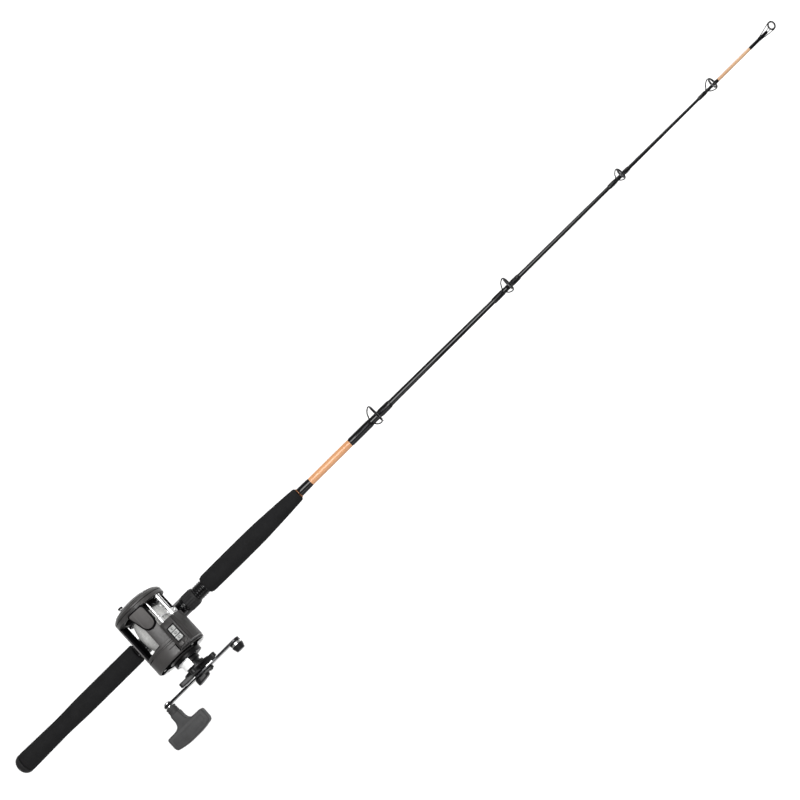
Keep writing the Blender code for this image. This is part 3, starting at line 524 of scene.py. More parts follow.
def bevelled(obj, width, segments=3, angle=40):
    modifier = obj.modifiers.new("Edges", "BEVEL")
    modifier.width = width * MM
    modifier.segments = segments
    modifier.limit_method = "ANGLE"
    modifier.angle_limit = math.radians(angle)
    return settled(obj)


def prism(name, outline, start, end, origin=(0, 0, 0), along="-Y", soften=0.0, bevel=0.4):
    """An outline of (across, up) points pushed along the axis from start to end."""
    shape = bmesh.new()
    points = soft(outline, soften, True)
    face = shape.faces.new([shape.verts.new((x, y, start)) for x, y in points])
    pushed = bmesh.ops.extrude_face_region(shape, geom=[face])["geom"]
    moved = [item for item in pushed if isinstance(item, bmesh.types.BMVert)]
    bmesh.ops.translate(shape, verts=moved, vec=(0, 0, end - start))
    obj = made(name, shape, origin, along)
    return bevelled(obj, bevel) if bevel else obj


def slab(name, low, high, bevel=0.4, origin=(0, 0, 0)):
    low, high = Vector(low), Vector(high)
    outline = [(low.x, low.y), (high.x, low.y), (high.x, high.y), (low.x, high.y)]
    obj = prism(name, outline, low.z, high.z, origin, "Z", 0, 0)
    return bevelled(obj, bevel) if bevel else obj


def wire(name, points, radius):
    """Round wire along a smooth curve through the points."""
    places = smooth(points, 0.8) if len(points) > 2 else points
    curve = bpy.data.curves.new(name, "CURVE")
    curve.dimensions = "3D"
    curve.bevel_depth = radius * MM
    curve.bevel_resolution = 5
    curve.use_fill_caps = True
    spline = curve.splines.new("POLY")
    spline.points.add(len(places) - 1)
    for point, place in zip(spline.points, places):
        point.co = (*(Vector(place) * MM), 1)
    bent = bpy.data.objects.new(name, curve)
    scene.collection.objects.link(bent)
    graph = bpy.context.evaluated_depsgraph_get()
    graph.update()
    mesh = bpy.data.meshes.new_from_object(bent.evaluated_get(graph))
    bpy.data.objects.remove(bent)
    bpy.data.curves.remove(curve)
    shape = bmesh.new()
    shape.from_mesh(mesh)
    bmesh.ops.remove_doubles(shape, verts=shape.verts, dist=1e-7)
    shape.to_mesh(mesh)
    shape.free()
    obj = bpy.data.objects.new(name, mesh)
    scene.collection.objects.link(obj)
    return obj


def combined(obj, others, operation):
    for other in others:
        modifier = obj.modifiers.new(other.name, "BOOLEAN")
        modifier.operation = operation
        modifier.solver = "EXACT"
        modifier.object = other
    settled(obj)
    for other in others:
        mesh = other.data
        bpy.data.objects.remove(other)
        bpy.data.meshes.remove(mesh)
    return obj


def carved(obj, *cutters):
    return combined(obj, cutters, "DIFFERENCE")


def united(obj, *others):
    return combined(obj, others, "UNION")


def gathered(obj, *others):
    """One object of several closed shapes that overlap."""
    shape = bmesh.new()
    shape.from_mesh(obj.data)
    for other in others:
        shape.from_mesh(other.data)
        mesh = other.data
        bpy.data.objects.remove(other)
        bpy.data.meshes.remove(mesh)
    shape.to_mesh(obj.data)
    shape.free()
    return obj


def moved(obj, change):
    """The object with each point put through a change, in millimetres."""
    for vertex in obj.data.vertices:
        vertex.co = Vector(change(vertex.co / MM)) * MM
    return obj


def turned(obj, centre, axis, degrees):
    """The object's mesh turned about an axis through a point."""
    about = Matrix.Translation(Vector(centre) * MM)
    obj.data.transform(about @ Matrix.Rotation(math.radians(degrees), 4, axis) @ about.inverted())
    return obj


def piece(obj, body, look, *nodes, slot=None, angle=38):
    """Gives a finished shape its look, its body and the CAD nodes that it stands for; the slot is not
    used.
    """
    obj.data.materials.clear()
    obj.data.materials.append(LOOKS[look])
    obj.data.shade_smooth()
    obj.data.set_sharp_from_angle(angle=math.radians(angle))
    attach(obj, body)
    if nodes:
        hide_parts(*nodes)
    return obj


# ---------------------------------------------------------------- the rod

BLANK = (
    (12.3, 6.1),
    (564, 6.1),
    (588.5, 5.6),
    (708, 5.35),
    (752, 4.9),
    (828, 4.5),
    (886, 4.3),
    (955, 3.8),
    (1111, 3.25),
    (1246, 2.7),
    (1353, 2.16),
    (1412.2, 2.0),
    (1508.7, 1.85),
)
# ring station, ring height, hoop radius, wire radius, wrap ends, gap between the wraps, wrap
GUIDES = (
    (724.8, 25.0, 14.1, 0.9, 668.3, 750.0, 710.6, 728.0, 0.75),
    (989.0, 20.5, 11.0, 0.8, 958.0, 1010.0, 978.0, 994.0, 0.65),
    (1215.0, 15.4, 8.7, 0.7, 1191.6, 1232.0, 1206.7, 1221.0, 0.6),
    (1399.3, 14.6, 8.7, 0.7, 1373.0, 1411.9, 1388.9, 1405.0, 0.7),
)
GLUE = 0.15


def blank_radius(station):
    for (a, first), (b, second) in zip(BLANK, BLANK[1:]):
        if a <= station <= b:
            return first + (second - first) * (station - a) / (b - a)
    raise ValueError(station)


def sleeve(name, profile, look, node, steps=2.0):
    """A wrap on the blank: (station, thickness) points, its outside smooth between them."""
    dense = smooth(profile, steps)
    outer = [(x, blank_radius(x) + GLUE + max(t, 0.05)) for x, t in dense]
    inner = [(x, blank_radius(x) + 0.02) for x, _ in reversed(dense)]
    return piece(lathe(name, outer + inner, segments=64, soften=0), "rod", look, node)


def grip(name, profile, node):
    """A foam grip: a smooth outside, rounded ends and a bore for the blank."""
    bore = BLANK[0][1] + 0.3
    start, end = profile[0][0], profile[-1][0]
    outer = smooth(profile, 3.0)
    path = [(start, outer[0][1] - 1.2), *[(x, r) for x, r in outer if start + 1.2 < x < end - 1.2]]
    path += [(end, outer[-1][1] - 1.0), (end, bore), (start, bore)]
    return piece(lathe(name, path, soften=1.2, segments=96), "rod", "foam", node)


def build_rod():
    end = corners("butt_cap")[1].x
    dome = [(0, 5.0), (0.8, 7.9), (2.2, 10.4), (4.2, 12.5), (6.6, 14.0), (9.0, 14.8), (end, 15.1)]
    ridge = [(end - 1.4, 15.1), (end - 1.1, 14.7), (end - 0.8, 15.1)]
    path = [(0.5, 0), (0.5, 3.4), (0, 3.9), *smooth(dome[:-1], 0.7), *ridge, (end, 15.1), (end, 0)]
    piece(lathe("butt_cap_dome", path, soften=0.3), "rod", "rubber", "butt_cap")
    low, high = corners("butt_grip")
    butt = [(low.x, 15.1), (28, 14.85), (45, 14.5), (66, 14.05), (87, 13.8), (106, 14.2), (124, 14.8),
        (150, 14.9)]
    grip("butt_grip_foam", [*butt, (high.x, 14.9)], "butt_grip")
    low, high = corners("fore_grip")
    fore = [(low.x, 14.0), (379.5, 14.4), (386, 14.7), (420, 14.9), (455, 14.9), (487, 14.5),
        (504, 13.7)]
    fore += [(521, 12.9), (539, 11.9), (556, 10.8), (high.x, 10.1)]
    grip("fore_grip_foam", fore, "fore_grip")

    path = [(BLANK[0][0], 0), *BLANK, (BLANK[-1][0], 0)]
    piece(lathe("blank_shaft", path, segments=64, soften=0.2), "rod", "gloss", "blank")
    low, high = corners("winding_check")
    start, end = low.x, high.x
    check = [(start, 7.0), (start + 0.3, 7.8), (start + 0.8, 8.2), (start + 1.2, 7.7),
        (start + 1.6, 7.9), (end, 7.1)]
    check += [(end, 6.3), (start, 6.3)]
    piece(lathe("winding_check_ring", check, soften=0.15), "rod", "copper", "winding_check")
    low, high = corners("hosel_wrap")
    hosel = [(low.x, 0.35), (low.x + 2, 0.6), (high.x - 4, 0.55), (high.x, 0.4)]
    sleeve("hosel_thread", hosel, "black_thread", "hosel_wrap")
    low, high = corners("butt_band")
    band = [(low.x, 0.32), (low.x + 3, 0.42), (high.x - 3, 0.42), (high.x, 0.3)]
    sleeve("butt_band_thread", band, "orange_thread", "butt_band", 5.0)
    low, high = corners("tip_band")
    band = [(low.x, 0.2), (low.x + 3, 0.36), (high.x - 3, 0.36), (high.x, 0.25)]
    sleeve("tip_band_thread", band, "pale_orange_thread", "tip_band", 5.0)


def hoop_path(radius, thick):
    return [(y, radius + x) for x, y in reversed(arc(thick, 0, 360, 14)[:-1])]


def build_guide(number, station, height, hoop, thick, wrap_start, wrap_end, rear_end, front_start,
        wrap):
    """A wire guide: a hoop on two bowed rear legs and a front brace, its ring, and its overwraps."""
    middle = (wrap_start + wrap_end) / 2
    top = blank_radius(middle) + GLUE + wrap + 0.3
    frame_of = lathe(f"guide_{number}_hoop", hoop_path(hoop, thick * 1.1), (station, 0, height), "X",
        72, 0)
    rise = height - top
    seat = top + blank_radius(rear_end) - blank_radius(middle)
    parts = []
    for side in (-1, 1):
        path = (
            (rear_end - 5.5, side * 0.55, seat + 0.45),
            (rear_end - 2.0, side * 0.9, seat + 0.55),
            (rear_end + 0.07 * rise, side * 0.28 * hoop, seat + 0.12 * rise + 0.4),
            (rear_end + 0.35 * (station - rear_end), side * 0.75 * hoop, seat + 0.5 * rise),
            (rear_end + 0.75 * (station - rear_end), side * (hoop + 0.4), height - 0.12 * hoop),
            (station - 0.1, side * hoop * 0.985, height + 0.17 * hoop),
        )
        parts.append(wire(f"guide_{number}_leg_{side}", path, thick * 1.12))
    low = top + blank_radius(front_start) - blank_radius(middle)
    brace = (
        (station, 0, height - hoop),
        (station + 0.45 * (front_start - station), 0, low + 0.4 * (height - hoop - low)),
        (front_start + 0.6, 0, low + 0.7),
        (front_start + 3.5, 0, low + 0.6),
    )
    parts.append(wire(f"guide_{number}_brace", brace, thick * 1.12))
    for name, start, end, level in (
        ("rear", rear_end - min(30.5, rear_end - wrap_start - 2), rear_end - 0.5, seat),
        ("front", front_start + 0.3, wrap_end - 0.2 * (wrap_end - front_start) - 1.5, low),
    ):
        foot = slab(f"guide_{number}_{name}_foot", (start, -1.5, level - 0.1), (end, 1.5, level + 1.0),
            0.45)
        tip = start if name == "rear" else end
        length = end - start

        def tapered(p):
            far = min(1.0, abs(p.x - tip) / (0.6 * length) + 0.25)
            return (p.x, p.y * far, level - 0.1 + (p.z - level + 0.1) * (0.3 + 0.7 * far))

        parts.append(moved(foot, tapered))
    piece(gathered(frame_of, *parts), "rod", "guide_metal", f"guide_frame_{number}")

    outer = hoop - thick + 0.05
    lip = 0.07 * hoop + 0.55
    wide = 0.5 * lip + 1.0
    insert = [(-wide, outer - 0.5), (-wide * 0.55, outer), (wide * 0.55, outer), (wide, outer - 0.5)]
    insert += [(wide * 0.8, outer - lip * 0.8), (wide * 0.3, outer - lip), (-wide * 0.3, outer - lip)]
    insert += [(-wide * 0.8, outer - lip * 0.8)]
    ring = lathe(f"guide_{number}_insert", insert, (station, 0, height), "X", 72, 0.4)
    piece(ring, "rod", "ceramic", f"guide_ring_{number}")

    thin = 0.22
    profile = [(wrap_start, thin), (wrap_start + 2.2, wrap * 0.8), (wrap_start + 5, wrap),
        (rear_end - 2.5, wrap)]
    profile += [(rear_end, thin), (front_start, thin), (front_start + 2.0, wrap), (wrap_end - 5, wrap)]
    profile += [(wrap_end - 2.2, wrap * 0.75), (wrap_end, thin)]
    sleeve(f"guide_{number}_overwrap", profile, "black_thread", f"guide_wrap_{number}", 1.2)


def build_tip_top():
    centre = Vector((1518.3, 0, 11.0))
    lean = 32
    hoop, thick = 6.2, 0.65
    frame_of = turned(lathe("tip_top_wires", hoop_path(hoop, thick), centre, "X", 64, 0), centre, "Y",
        lean)
    low = corners("tip_top_frame")[0]
    bore = blank_radius(1476.4) + 0.1
    tube_end = 1511.7
    barrel = [(low.x, 2.3), (low.x + 1.2, 2.55), (1490, 2.5), (1497, 2.5), (tube_end - 1.5, 2.3),
        (tube_end, 1.7)]
    barrel += [(tube_end, 0.9), (tube_end - 2.0, bore), (low.x, bore)]
    parts = [lathe("tip_barrel", barrel, segments=48, soften=0.3)]
    turn = Matrix.Rotation(math.radians(lean), 3, "Y")
    for side in (-1, 1):
        leg = (
            (1495.5, side * 2.3, 0.1),
            (1501.5, side * 2.9, 1.3),
            (1510.5, side * 4.9, 5.2),
            (centre.x - 1.0, side * (hoop + 0.1), centre.z - 1.4),
            (centre.x + 0.3, side * hoop, centre.z + 0.6),
        )
        foot = centre + turn @ Vector((0, side * 1.7, -hoop * 0.96))
        prop = ((tube_end - 2.6, side * 0.8, 0.8), (tube_end + 1.0, side * 1.5, 2.4), tuple(foot))
        parts += [wire(f"tip_leg_{side}", leg, 0.55), wire(f"tip_prop_{side}", prop, 0.5)]
    piece(gathered(frame_of, *parts), "rod", "guide_metal", "tip_top_frame")
    outer = hoop - thick + 0.05
    insert = [(-1.1, outer - 0.35), (-0.6, outer), (0.6, outer), (1.1, outer - 0.35),
        (0.9, outer - 1.0)]
    insert += [(0.3, outer - 1.25), (-0.3, outer - 1.25), (-0.9, outer - 1.0)]
    ring = turned(lathe("tip_top_insert", insert, centre, "X", 64, 0.3), centre, "Y", lean)
    piece(ring, "rod", "ceramic", "tip_top_ring")


# ---------------------------------------------------------------- the reel seat

SEAT_BORE = 6.4
PITCH = 3.66


def build_seat():
    low, high = corners("reel_seat")
    hood_low, hood_high = corners("seat_hood")
    root, crest = 10.35, 11.4
    thread_start = hood_high.x - 2
    thread_end = high.x - 0.4

    def thread(reach, radius, angle):
        if not thread_start < reach < thread_end or radius < root - 0.01:
            return radius
        turn = (reach / PITCH - angle / math.tau) % 1.0
        fade = min(1.0, (thread_end - reach) / 2.0, (reach - thread_start) / 2.0)
        return root + (crest - root) * fade * min(1.0, 1.6 * (1 - abs(2 * turn - 1)))

    rings = [thread_start + 0.2 + 0.3 * i for i in range(int((thread_end - thread_start) / 0.3))]
    path = [(low.x, 10.6), (thread_start, 10.6), *[(x, root) for x in rings], (high.x, root)]
    path += [(high.x, SEAT_BORE), (low.x, SEAT_BORE)]
    barrel = lathe("seat_barrel", path, segments=72, soften=0, ripple=thread)
    flat = slab("seat_flat", (263.2, -12, 9.2), (thread_start, 12, 20), 0)
    barrel = carved(barrel, flat)
    deck = slab("seat_deck", (255, -9.4, 6.0), (thread_start - 14, 9.4, 9.2), 0.5)
    rear = lathe("seat_rear_hood", ring_path(241, 263, 13.1, 9.0), soften=1.2)
    hump = lathe("seat_rear_hump", disc_path(243, 263, 10.5), (0, 0, 6.3), "X", 96, 1.4)
    bore = lathe("rear_bore", disc_path(239, 264, 10.1), soften=0)
    pocket = slab("rear_pocket", (257, -7.0, 9.2), (266, 7.0, 12.9), 0)
    rear = carved(united(rear, hump), bore, pocket)
    piece(gathered(barrel, deck, bevelled(rear, 0.35, 2)), "rod", "seat", "reel_seat", angle=30)

    start, end = hood_low.x, hood_high.x
    hood = lathe("hood_shell", ring_path(start, end, 13.1, 11.7), soften=0.8)
    hump = lathe("hood_hump", disc_path(start, end - 3, 10.5), (0, 0, 6.3), "X", 96, 1.2)
    bore = lathe("hood_bore", disc_path(start - 2, end + 2, 11.7), soften=0)
    pocket = slab("hood_pocket", (start - 2, -7.0, 5), (end - 3.3, 7.0, 12.9), 0)
    hood = carved(united(hood, hump), bore, pocket)
    piece(bevelled(hood, 0.3, 2), "seat_hood", "seat", "seat_hood", angle=30)

    low, high = corners("seat_nut")
    ribs = 15

    def ribbed(reach, radius, angle):
        if radius < 12.8 or reach > high.x - 3.0:
            return radius
        wave = 0.5 + 0.5 * math.cos(ribs * angle)
        return radius - 0.75 * (1 - min(1.0, 2.2 * wave)) ** 2

    path = [(low.x, 13.0), (low.x + 0.6, 13.5)]
    path += [(low.x + 0.6 + i * 0.6, 13.5) for i in range(1, int((high.x - low.x - 4.4) / 0.6))]
    path += [(high.x - 3.4, 13.4), (high.x - 2.8, 12.7), (high.x - 1.4, 12.7), (high.x, 12.1),
        (high.x, 11.7)]
    path += [(low.x, 11.7)]
    nut = lathe("nut_collar", path, segments=180, soften=0.15, ripple=ribbed)
    piece(nut, "seat_nut", "nut_black", "seat_nut")

    low, high = corners("reel_foot")
    tongue = [(0, -6.3), (59, -6.3), (70, -5.3), (72, -3.5), (72, 3.5), (70, 5.3), (59, 6.3), (0, 6.3)]
    tongue = prism("foot_plate", tongue, low.z, 11.6, (259, 0, 0), "Z", 1.5, 0.4)
    base = slab("foot_base", (264.0, -9.0, low.z), (311.0, 9.0, 12.2), 0.6)
    saddle = slab("foot_saddle", (282, -9.0, 11.0), (310, 9.0, 18.0), 0)
    saddle = carved(saddle, lathe("foot_scoop", disc_path(-20, 20, 40.5), SPOOL, "-Y", 128, 0))
    piece(gathered(tongue, base, bevelled(saddle, 0.4, 2)), "rod", "steel", "reel_foot")


# ---------------------------------------------------------------- the reel's casing

PLATE = 40.4


def build_frame():
    left = (reach_of("reel_frame")[0], -28.8)
    right = (31.3, 35.3)
    body = lathe("frame_body", ring_path(*left, PLATE, 29.6), SPOOL, "-Y", 128, 0.5)
    parts = [lathe("right_wall", ring_path(*right, PLATE, 6.3), SPOOL, "-Y", 128, 0.5)]
    inner = (left[1] - 0.5, right[0] + 0.5)
    for name, shape, start, end in (
        ("rear_bar", sector(38.2, PLATE, 163, 200), *inner),
        ("top_bridge", sector(36.8, 40.1, 68, 96), *inner),
        ("bottom_bridge", sector(36.0, PLATE, 250, 290), *inner),
    ):
        parts.append(prism(name, shape, start, end, SPOOL, bevel=0.5))
    for name, shape, start, end in (
        ("bridge_rib", sector(39.6, 40.75, 93.2, 95.2, 6), left[1], right[0]),
        ("rear_rib", sector(PLATE - 0.4, PLATE + 0.35, 176, 184, 8), left[1], right[0]),
    ):
        parts.append(prism(name, shape, start, end, SPOOL, bevel=0.25))
    piece(gathered(body, *parts), "rod", "graphite", "reel_frame")
    # The front bar and the inner web of the rear bar are near-black: painted shade where they lie in
    # shadow.
    for name, shape in (
        ("front_bar", sector(36.6, PLATE, 300, 322)),
        ("rear_bar_web", sector(35.4, 38.6, 162.5, 199.5)),
    ):
        piece(prism(name, shape, *inner, SPOOL, bevel=0.4), "rod", "recess", slot="reel_frame")


def screw(name, place, along, radius, body, look, node):
    """A pan-head screw with a cross recess, its head proud of the place."""
    head = [(-1.0, 0), (-1.0, radius), (0.3, radius), (0.8, radius * 0.75), (1.0, 0)]
    obj = lathe(name, head, place, along, 40, 0.25)
    long, thin = radius * 0.62, radius * 0.16
    for first, second in ((long, thin), (thin, long)):
        low, high = Vector((-first, -second, 0.3)), Vector((first, second, 1.6))
        cutter = slab(f"{name}_recess", low, high, 0)
        cutter.data.transform(
            Matrix.Translation(Vector(place) * MM) @ TURNED[along].to_4x4()
        )
        carved(obj, cutter)
    return piece(obj, body, look, slot=node, angle=30)


def build_plates():
    low, high = reach_of("left_side_plate")
    dome = [(low, 12.5), (low + 0.15, 15), (-47.0, 21), (-46.0, 25.6)]
    steps = [(-45.7, 26.2), (-45.2, 26.3), (-44.6, 29.8), (-43.2, 33.2)]
    shoulder = [(-42.2, 35.2), (-41.5, 35.8), (-40.9, 36.9), (-39.4, 38.9), (-38.0, 39.8),
        (-36.4, PLATE)]
    rim = [(-35.2, PLATE), (-35.0, PLATE - 0.6), (-34.4, PLATE - 0.6), (-34.2, PLATE), (high, PLATE)]
    inside = [(-33.3, 37.0), (-37.4, 37.0), (-42.2, 29.5), (-44.2, 20), (-44.8, 0)]
    path = [(low + 0.6, 0), (low + 0.6, 8.6), (low, 9.2), *dome, *steps, *shoulder, *rim, *inside]
    plate = lathe("left_plate_shell", path, SPOOL, "-Y", 160, 0.35)
    slot = slab("clicker_slot", (-22.6, 40, -1.8), (-11.8, 54, 1.8), 0, SPOOL)
    piece(carved(plate, slot), "rod", "graphite_rim", "left_side_plate", angle=28)
    # Near-black rings in the plate's rim groove and at its steps: painted shade.
    for name, path in (
        ("rim_line", ring_path(-35.1, -34.3, PLATE - 0.3, PLATE - 1.6)),
        ("shoulder_line", [(-41.7, 34.9), (-41.8, 35.75), (-41.0, 36.9), (-40.4, 36.4)]),
        ("step_line", [(-45.9, 25.2), (-45.95, 26.0), (-45.1, 26.6), (-44.7, 26.0)]),
    ):
        line = lathe(f"plate_{name}", path, SPOOL, "-Y", 160, 0)
        piece(line, "rod", "recess", slot="left_side_plate")
    cap = [(low + 0.8, 0), (low + 0.8, 2.0), (low, 2.6), (low - 0.5, 7.4), (low + 0.1, 8.3),
        (low + 1.2, 8.3), (low + 1.2, 0)]
    cap = lathe("bearing_cap", cap, SPOOL, "-Y", 72, 0.3)
    coin = slab("coin_slot", (-6.0, 46.0, -0.8), (6.0, 50.0, 0.8), 0, SPOOL)
    piece(carved(cap, coin), "rod", "black_metal", slot="left_side_plate", angle=30)
    for i, angle in enumerate((40, 160, 280)):
        turn = math.radians(angle)
        place = SPOOL + Vector((31.0 * math.cos(turn), 43.9, 31.0 * math.sin(turn)))
        obj = screw(f"plate_screw_{i + 1}", (0, 0, 0), "-Y", 2.3, "rod", "steel", "left_side_plate")
        obj.data.transform(Matrix.Translation(place * MM) @ Matrix.Rotation(math.pi, 4, "Z"))

    start, end = reach_of("right_side_plate")
    path = [(start, PLATE), (37.4, PLATE), (37.7, PLATE - 0.5), (38.3, PLATE - 0.5), (38.6, PLATE)]
    path += [(end - 2.2, PLATE), (end - 1.2, PLATE - 0.5), (end, PLATE - 1.5), (end, 27.0),
        (end - 0.6, 26.4)]
    path += [(end - 0.6, 24.6), (end, 24.0), (end, 0), (end - 3, 0), (end - 3, PLATE - 2.2)]
    path += [(start, PLATE - 2.2)]
    drum = lathe("drum_shell", path, SPOOL, "-Y", 160, 0.4)
    bulge = lathe("worm_bulge", disc_path(start, 44.0, 7.6), WORM, "-Y", 64, 0.8)
    shaft = lathe("shaft_hole", disc_path(end - 6, end + 3, 4.6), CRANK, "-Y", 48, 0)
    piece(carved(united(drum, bulge), shaft), "rod", "graphite", "right_side_plate", angle=28)
    # A near-black sheet over the drum's end face: painted shade on a face turned away from the light.
    cover = lathe("drum_end_shade", ring_path(end - 0.4, end + 0.15, PLATE - 2.6, 21.0), SPOOL, "-Y", 160,
        0.1)
    hole = lathe("end_shade_hole", disc_path(end - 2, end + 2, 22.6), CRANK, "-Y", 96, 0)
    piece(carved(cover, hole), "rod", "recess", slot="right_side_plate")
    # A light steel arc round the lower half of the drum's end rim: painted highlight where the rim's
    # chamfer catches the light.
    rim_highlight = prism("drum_rim_highlight", sector(PLATE - 13.0, PLATE - 0.9, 186, 354, 80), end - 1.0, end + 0.3,
        SPOOL, bevel=0.25)
    hole = lathe("rim_highlight_hole", disc_path(end - 2, end + 2, 22.6), CRANK, "-Y", 96, 0)
    rim_highlight = carved(rim_highlight, hole)
    piece(rim_highlight, "rod", "steel", slot="right_side_plate")
    # Near-black strips along the casing's seams: dark joints, deepened with painted shade.
    for name, first, last, near, far in (
        ("seam_cross", 71.5, 86, 43.4, 44.3),
        ("seam_along", 69.2, 72.2, 43.4, 55.5),
        ("seam_round", 128, 165, 36.2, 37.3),
        ("seam_counter", 66.9, 69.7, 11.0, 43.4),
    ):
        seam = prism(name, sector(PLATE - 0.6, PLATE + 0.15, first, last), near, far, SPOOL, bevel=0)
        piece(seam, "rod", "recess", slot="right_side_plate")
    for i, angle in enumerate((38, 142, 200, 340)):
        turn = math.radians(angle)
        place = SPOOL + Vector((33.0 * math.cos(turn), -end, 33.0 * math.sin(turn)))
        screw(f"drum_screw_{i + 1}", place, "-Y", 2.3, "rod", "steel", "right_side_plate")

    start, end = reach_of("gear_boss")
    boss = [(start, 22.2), (end - 3.2, 22.2), (end - 3.0, 21.9), (end - 2.6, 21.9), (end - 2.4, 22.2),
        (end - 0.8, 22.2)]
    boss += [(end, 21.4), (end, 16.0), (end - 0.5, 15.6), (end - 0.5, 12.4), (end, 12.0), (end, 4.5),
        (start, 4.5)]
    piece(lathe("boss_cover", boss, CRANK, "-Y", 120, 0.3), "rod", "black", "gear_boss")
    for i, angle in enumerate((25, 205, 335)):
        turn = math.radians(angle)
        place = CRANK + Vector((18.8 * math.cos(turn), -end + 0.2, 18.8 * math.sin(turn)))
        screw(f"boss_screw_{i + 1}", place, "-Y", 1.8, "rod", "steel", "gear_boss")


PAD = (
    (288.0, -28.0),
    (309.3, -27.6),
    (310.8, -24.0),
    (310.9, -4.4),
    (309.1, 2.5),
    (302.4, 5.3),
    (296.1, 3.2),
    (293.2, -1.7),
    (286.8, -25.3),
)


def pad_shape(name, inner, outer, grow, bevel):
    """The thumb pad's outline on a shell about the spool axis, grown all round by grow."""
    shell = prism(name, sector(inner, outer, 60, 112, 48), -34.0, 12.0, SPOOL, bevel=0)
    middle = Vector((299.5, -11.5))
    outline = []
    for x, reach in soft(PAD, 2.6, True, 8):
        out = Vector((x, reach)) - middle
        place = middle + out * (1 + grow / out.length)
        outline.append((place.x, -place.y))
    stamp = prism(f"{name}_stamp", outline, 80, 110, (0, 0, 0), "Z", 0, 0)
    shape = combined(shell, [stamp], "INTERSECT")
    return bevelled(shape, bevel, 3, 50) if bevel else shape


def build_thumb_rest():
    piece(pad_shape("thumb_pad", 40.3, 43.0, -0.5, 0.6), "rod", "graphite_light", "thumb_rest")
    # A near-black rim showing round the thumb pad: painted shadow in the gap under the pad's edge.
    shadow_gap = pad_shape("pad_shadow_gap", 39.9, 41.3, 2.2, 0.25)
    piece(shadow_gap, "rod", "recess", slot="thumb_rest")
    collar = slab("pad_collar", (284.5, 30.4, 91.5), (312.5, 33.2, 96.8), 0.9)
    shell = lathe("collar_shell", ring_path(-34, -29, 42.0, 37.0), SPOOL, "-Y", 160, 0)
    piece(combined(collar, [shell], "INTERSECT"), "rod", "graphite_dark", slot="reel_frame")


DIGIT_RADIUS = 6.0
MASK_BASE = 102.2


def digit(name, text, wheel_reach, turn):
    """One raised numeral bent round the wheel, reading from behind the reel."""
    curve = bpy.data.curves.new(name, "FONT")
    curve.body = text
    curve.size = 5.2
    curve.extrude = 0.12
    curve.offset = 0.17
    curve.align_x = "CENTER"
    curve.align_y = "CENTER"
    curve.resolution_u = 3
    obj = bpy.data.objects.new(name, curve)
    scene.collection.objects.link(obj)
    graph = bpy.context.evaluated_depsgraph_get()
    graph.update()
    mesh = bpy.data.meshes.new_from_object(obj.evaluated_get(graph))
    bpy.data.objects.remove(obj)
    bpy.data.curves.remove(curve)
    for vertex in mesh.vertices:
        x, y, z = vertex.co
        angle = turn + y * 0.92 / DIGIT_RADIUS
        out = DIGIT_RADIUS + 0.01 + (z + 0.12) * 0.3
        vertex.co = Vector(
            (WHEEL.x + out * math.sin(angle), -(wheel_reach + x * 1.2), WHEEL.z + out * math.cos(angle))
        ) * MM
    obj = bpy.data.objects.new(name, mesh)
    scene.collection.objects.link(obj)
    return obj


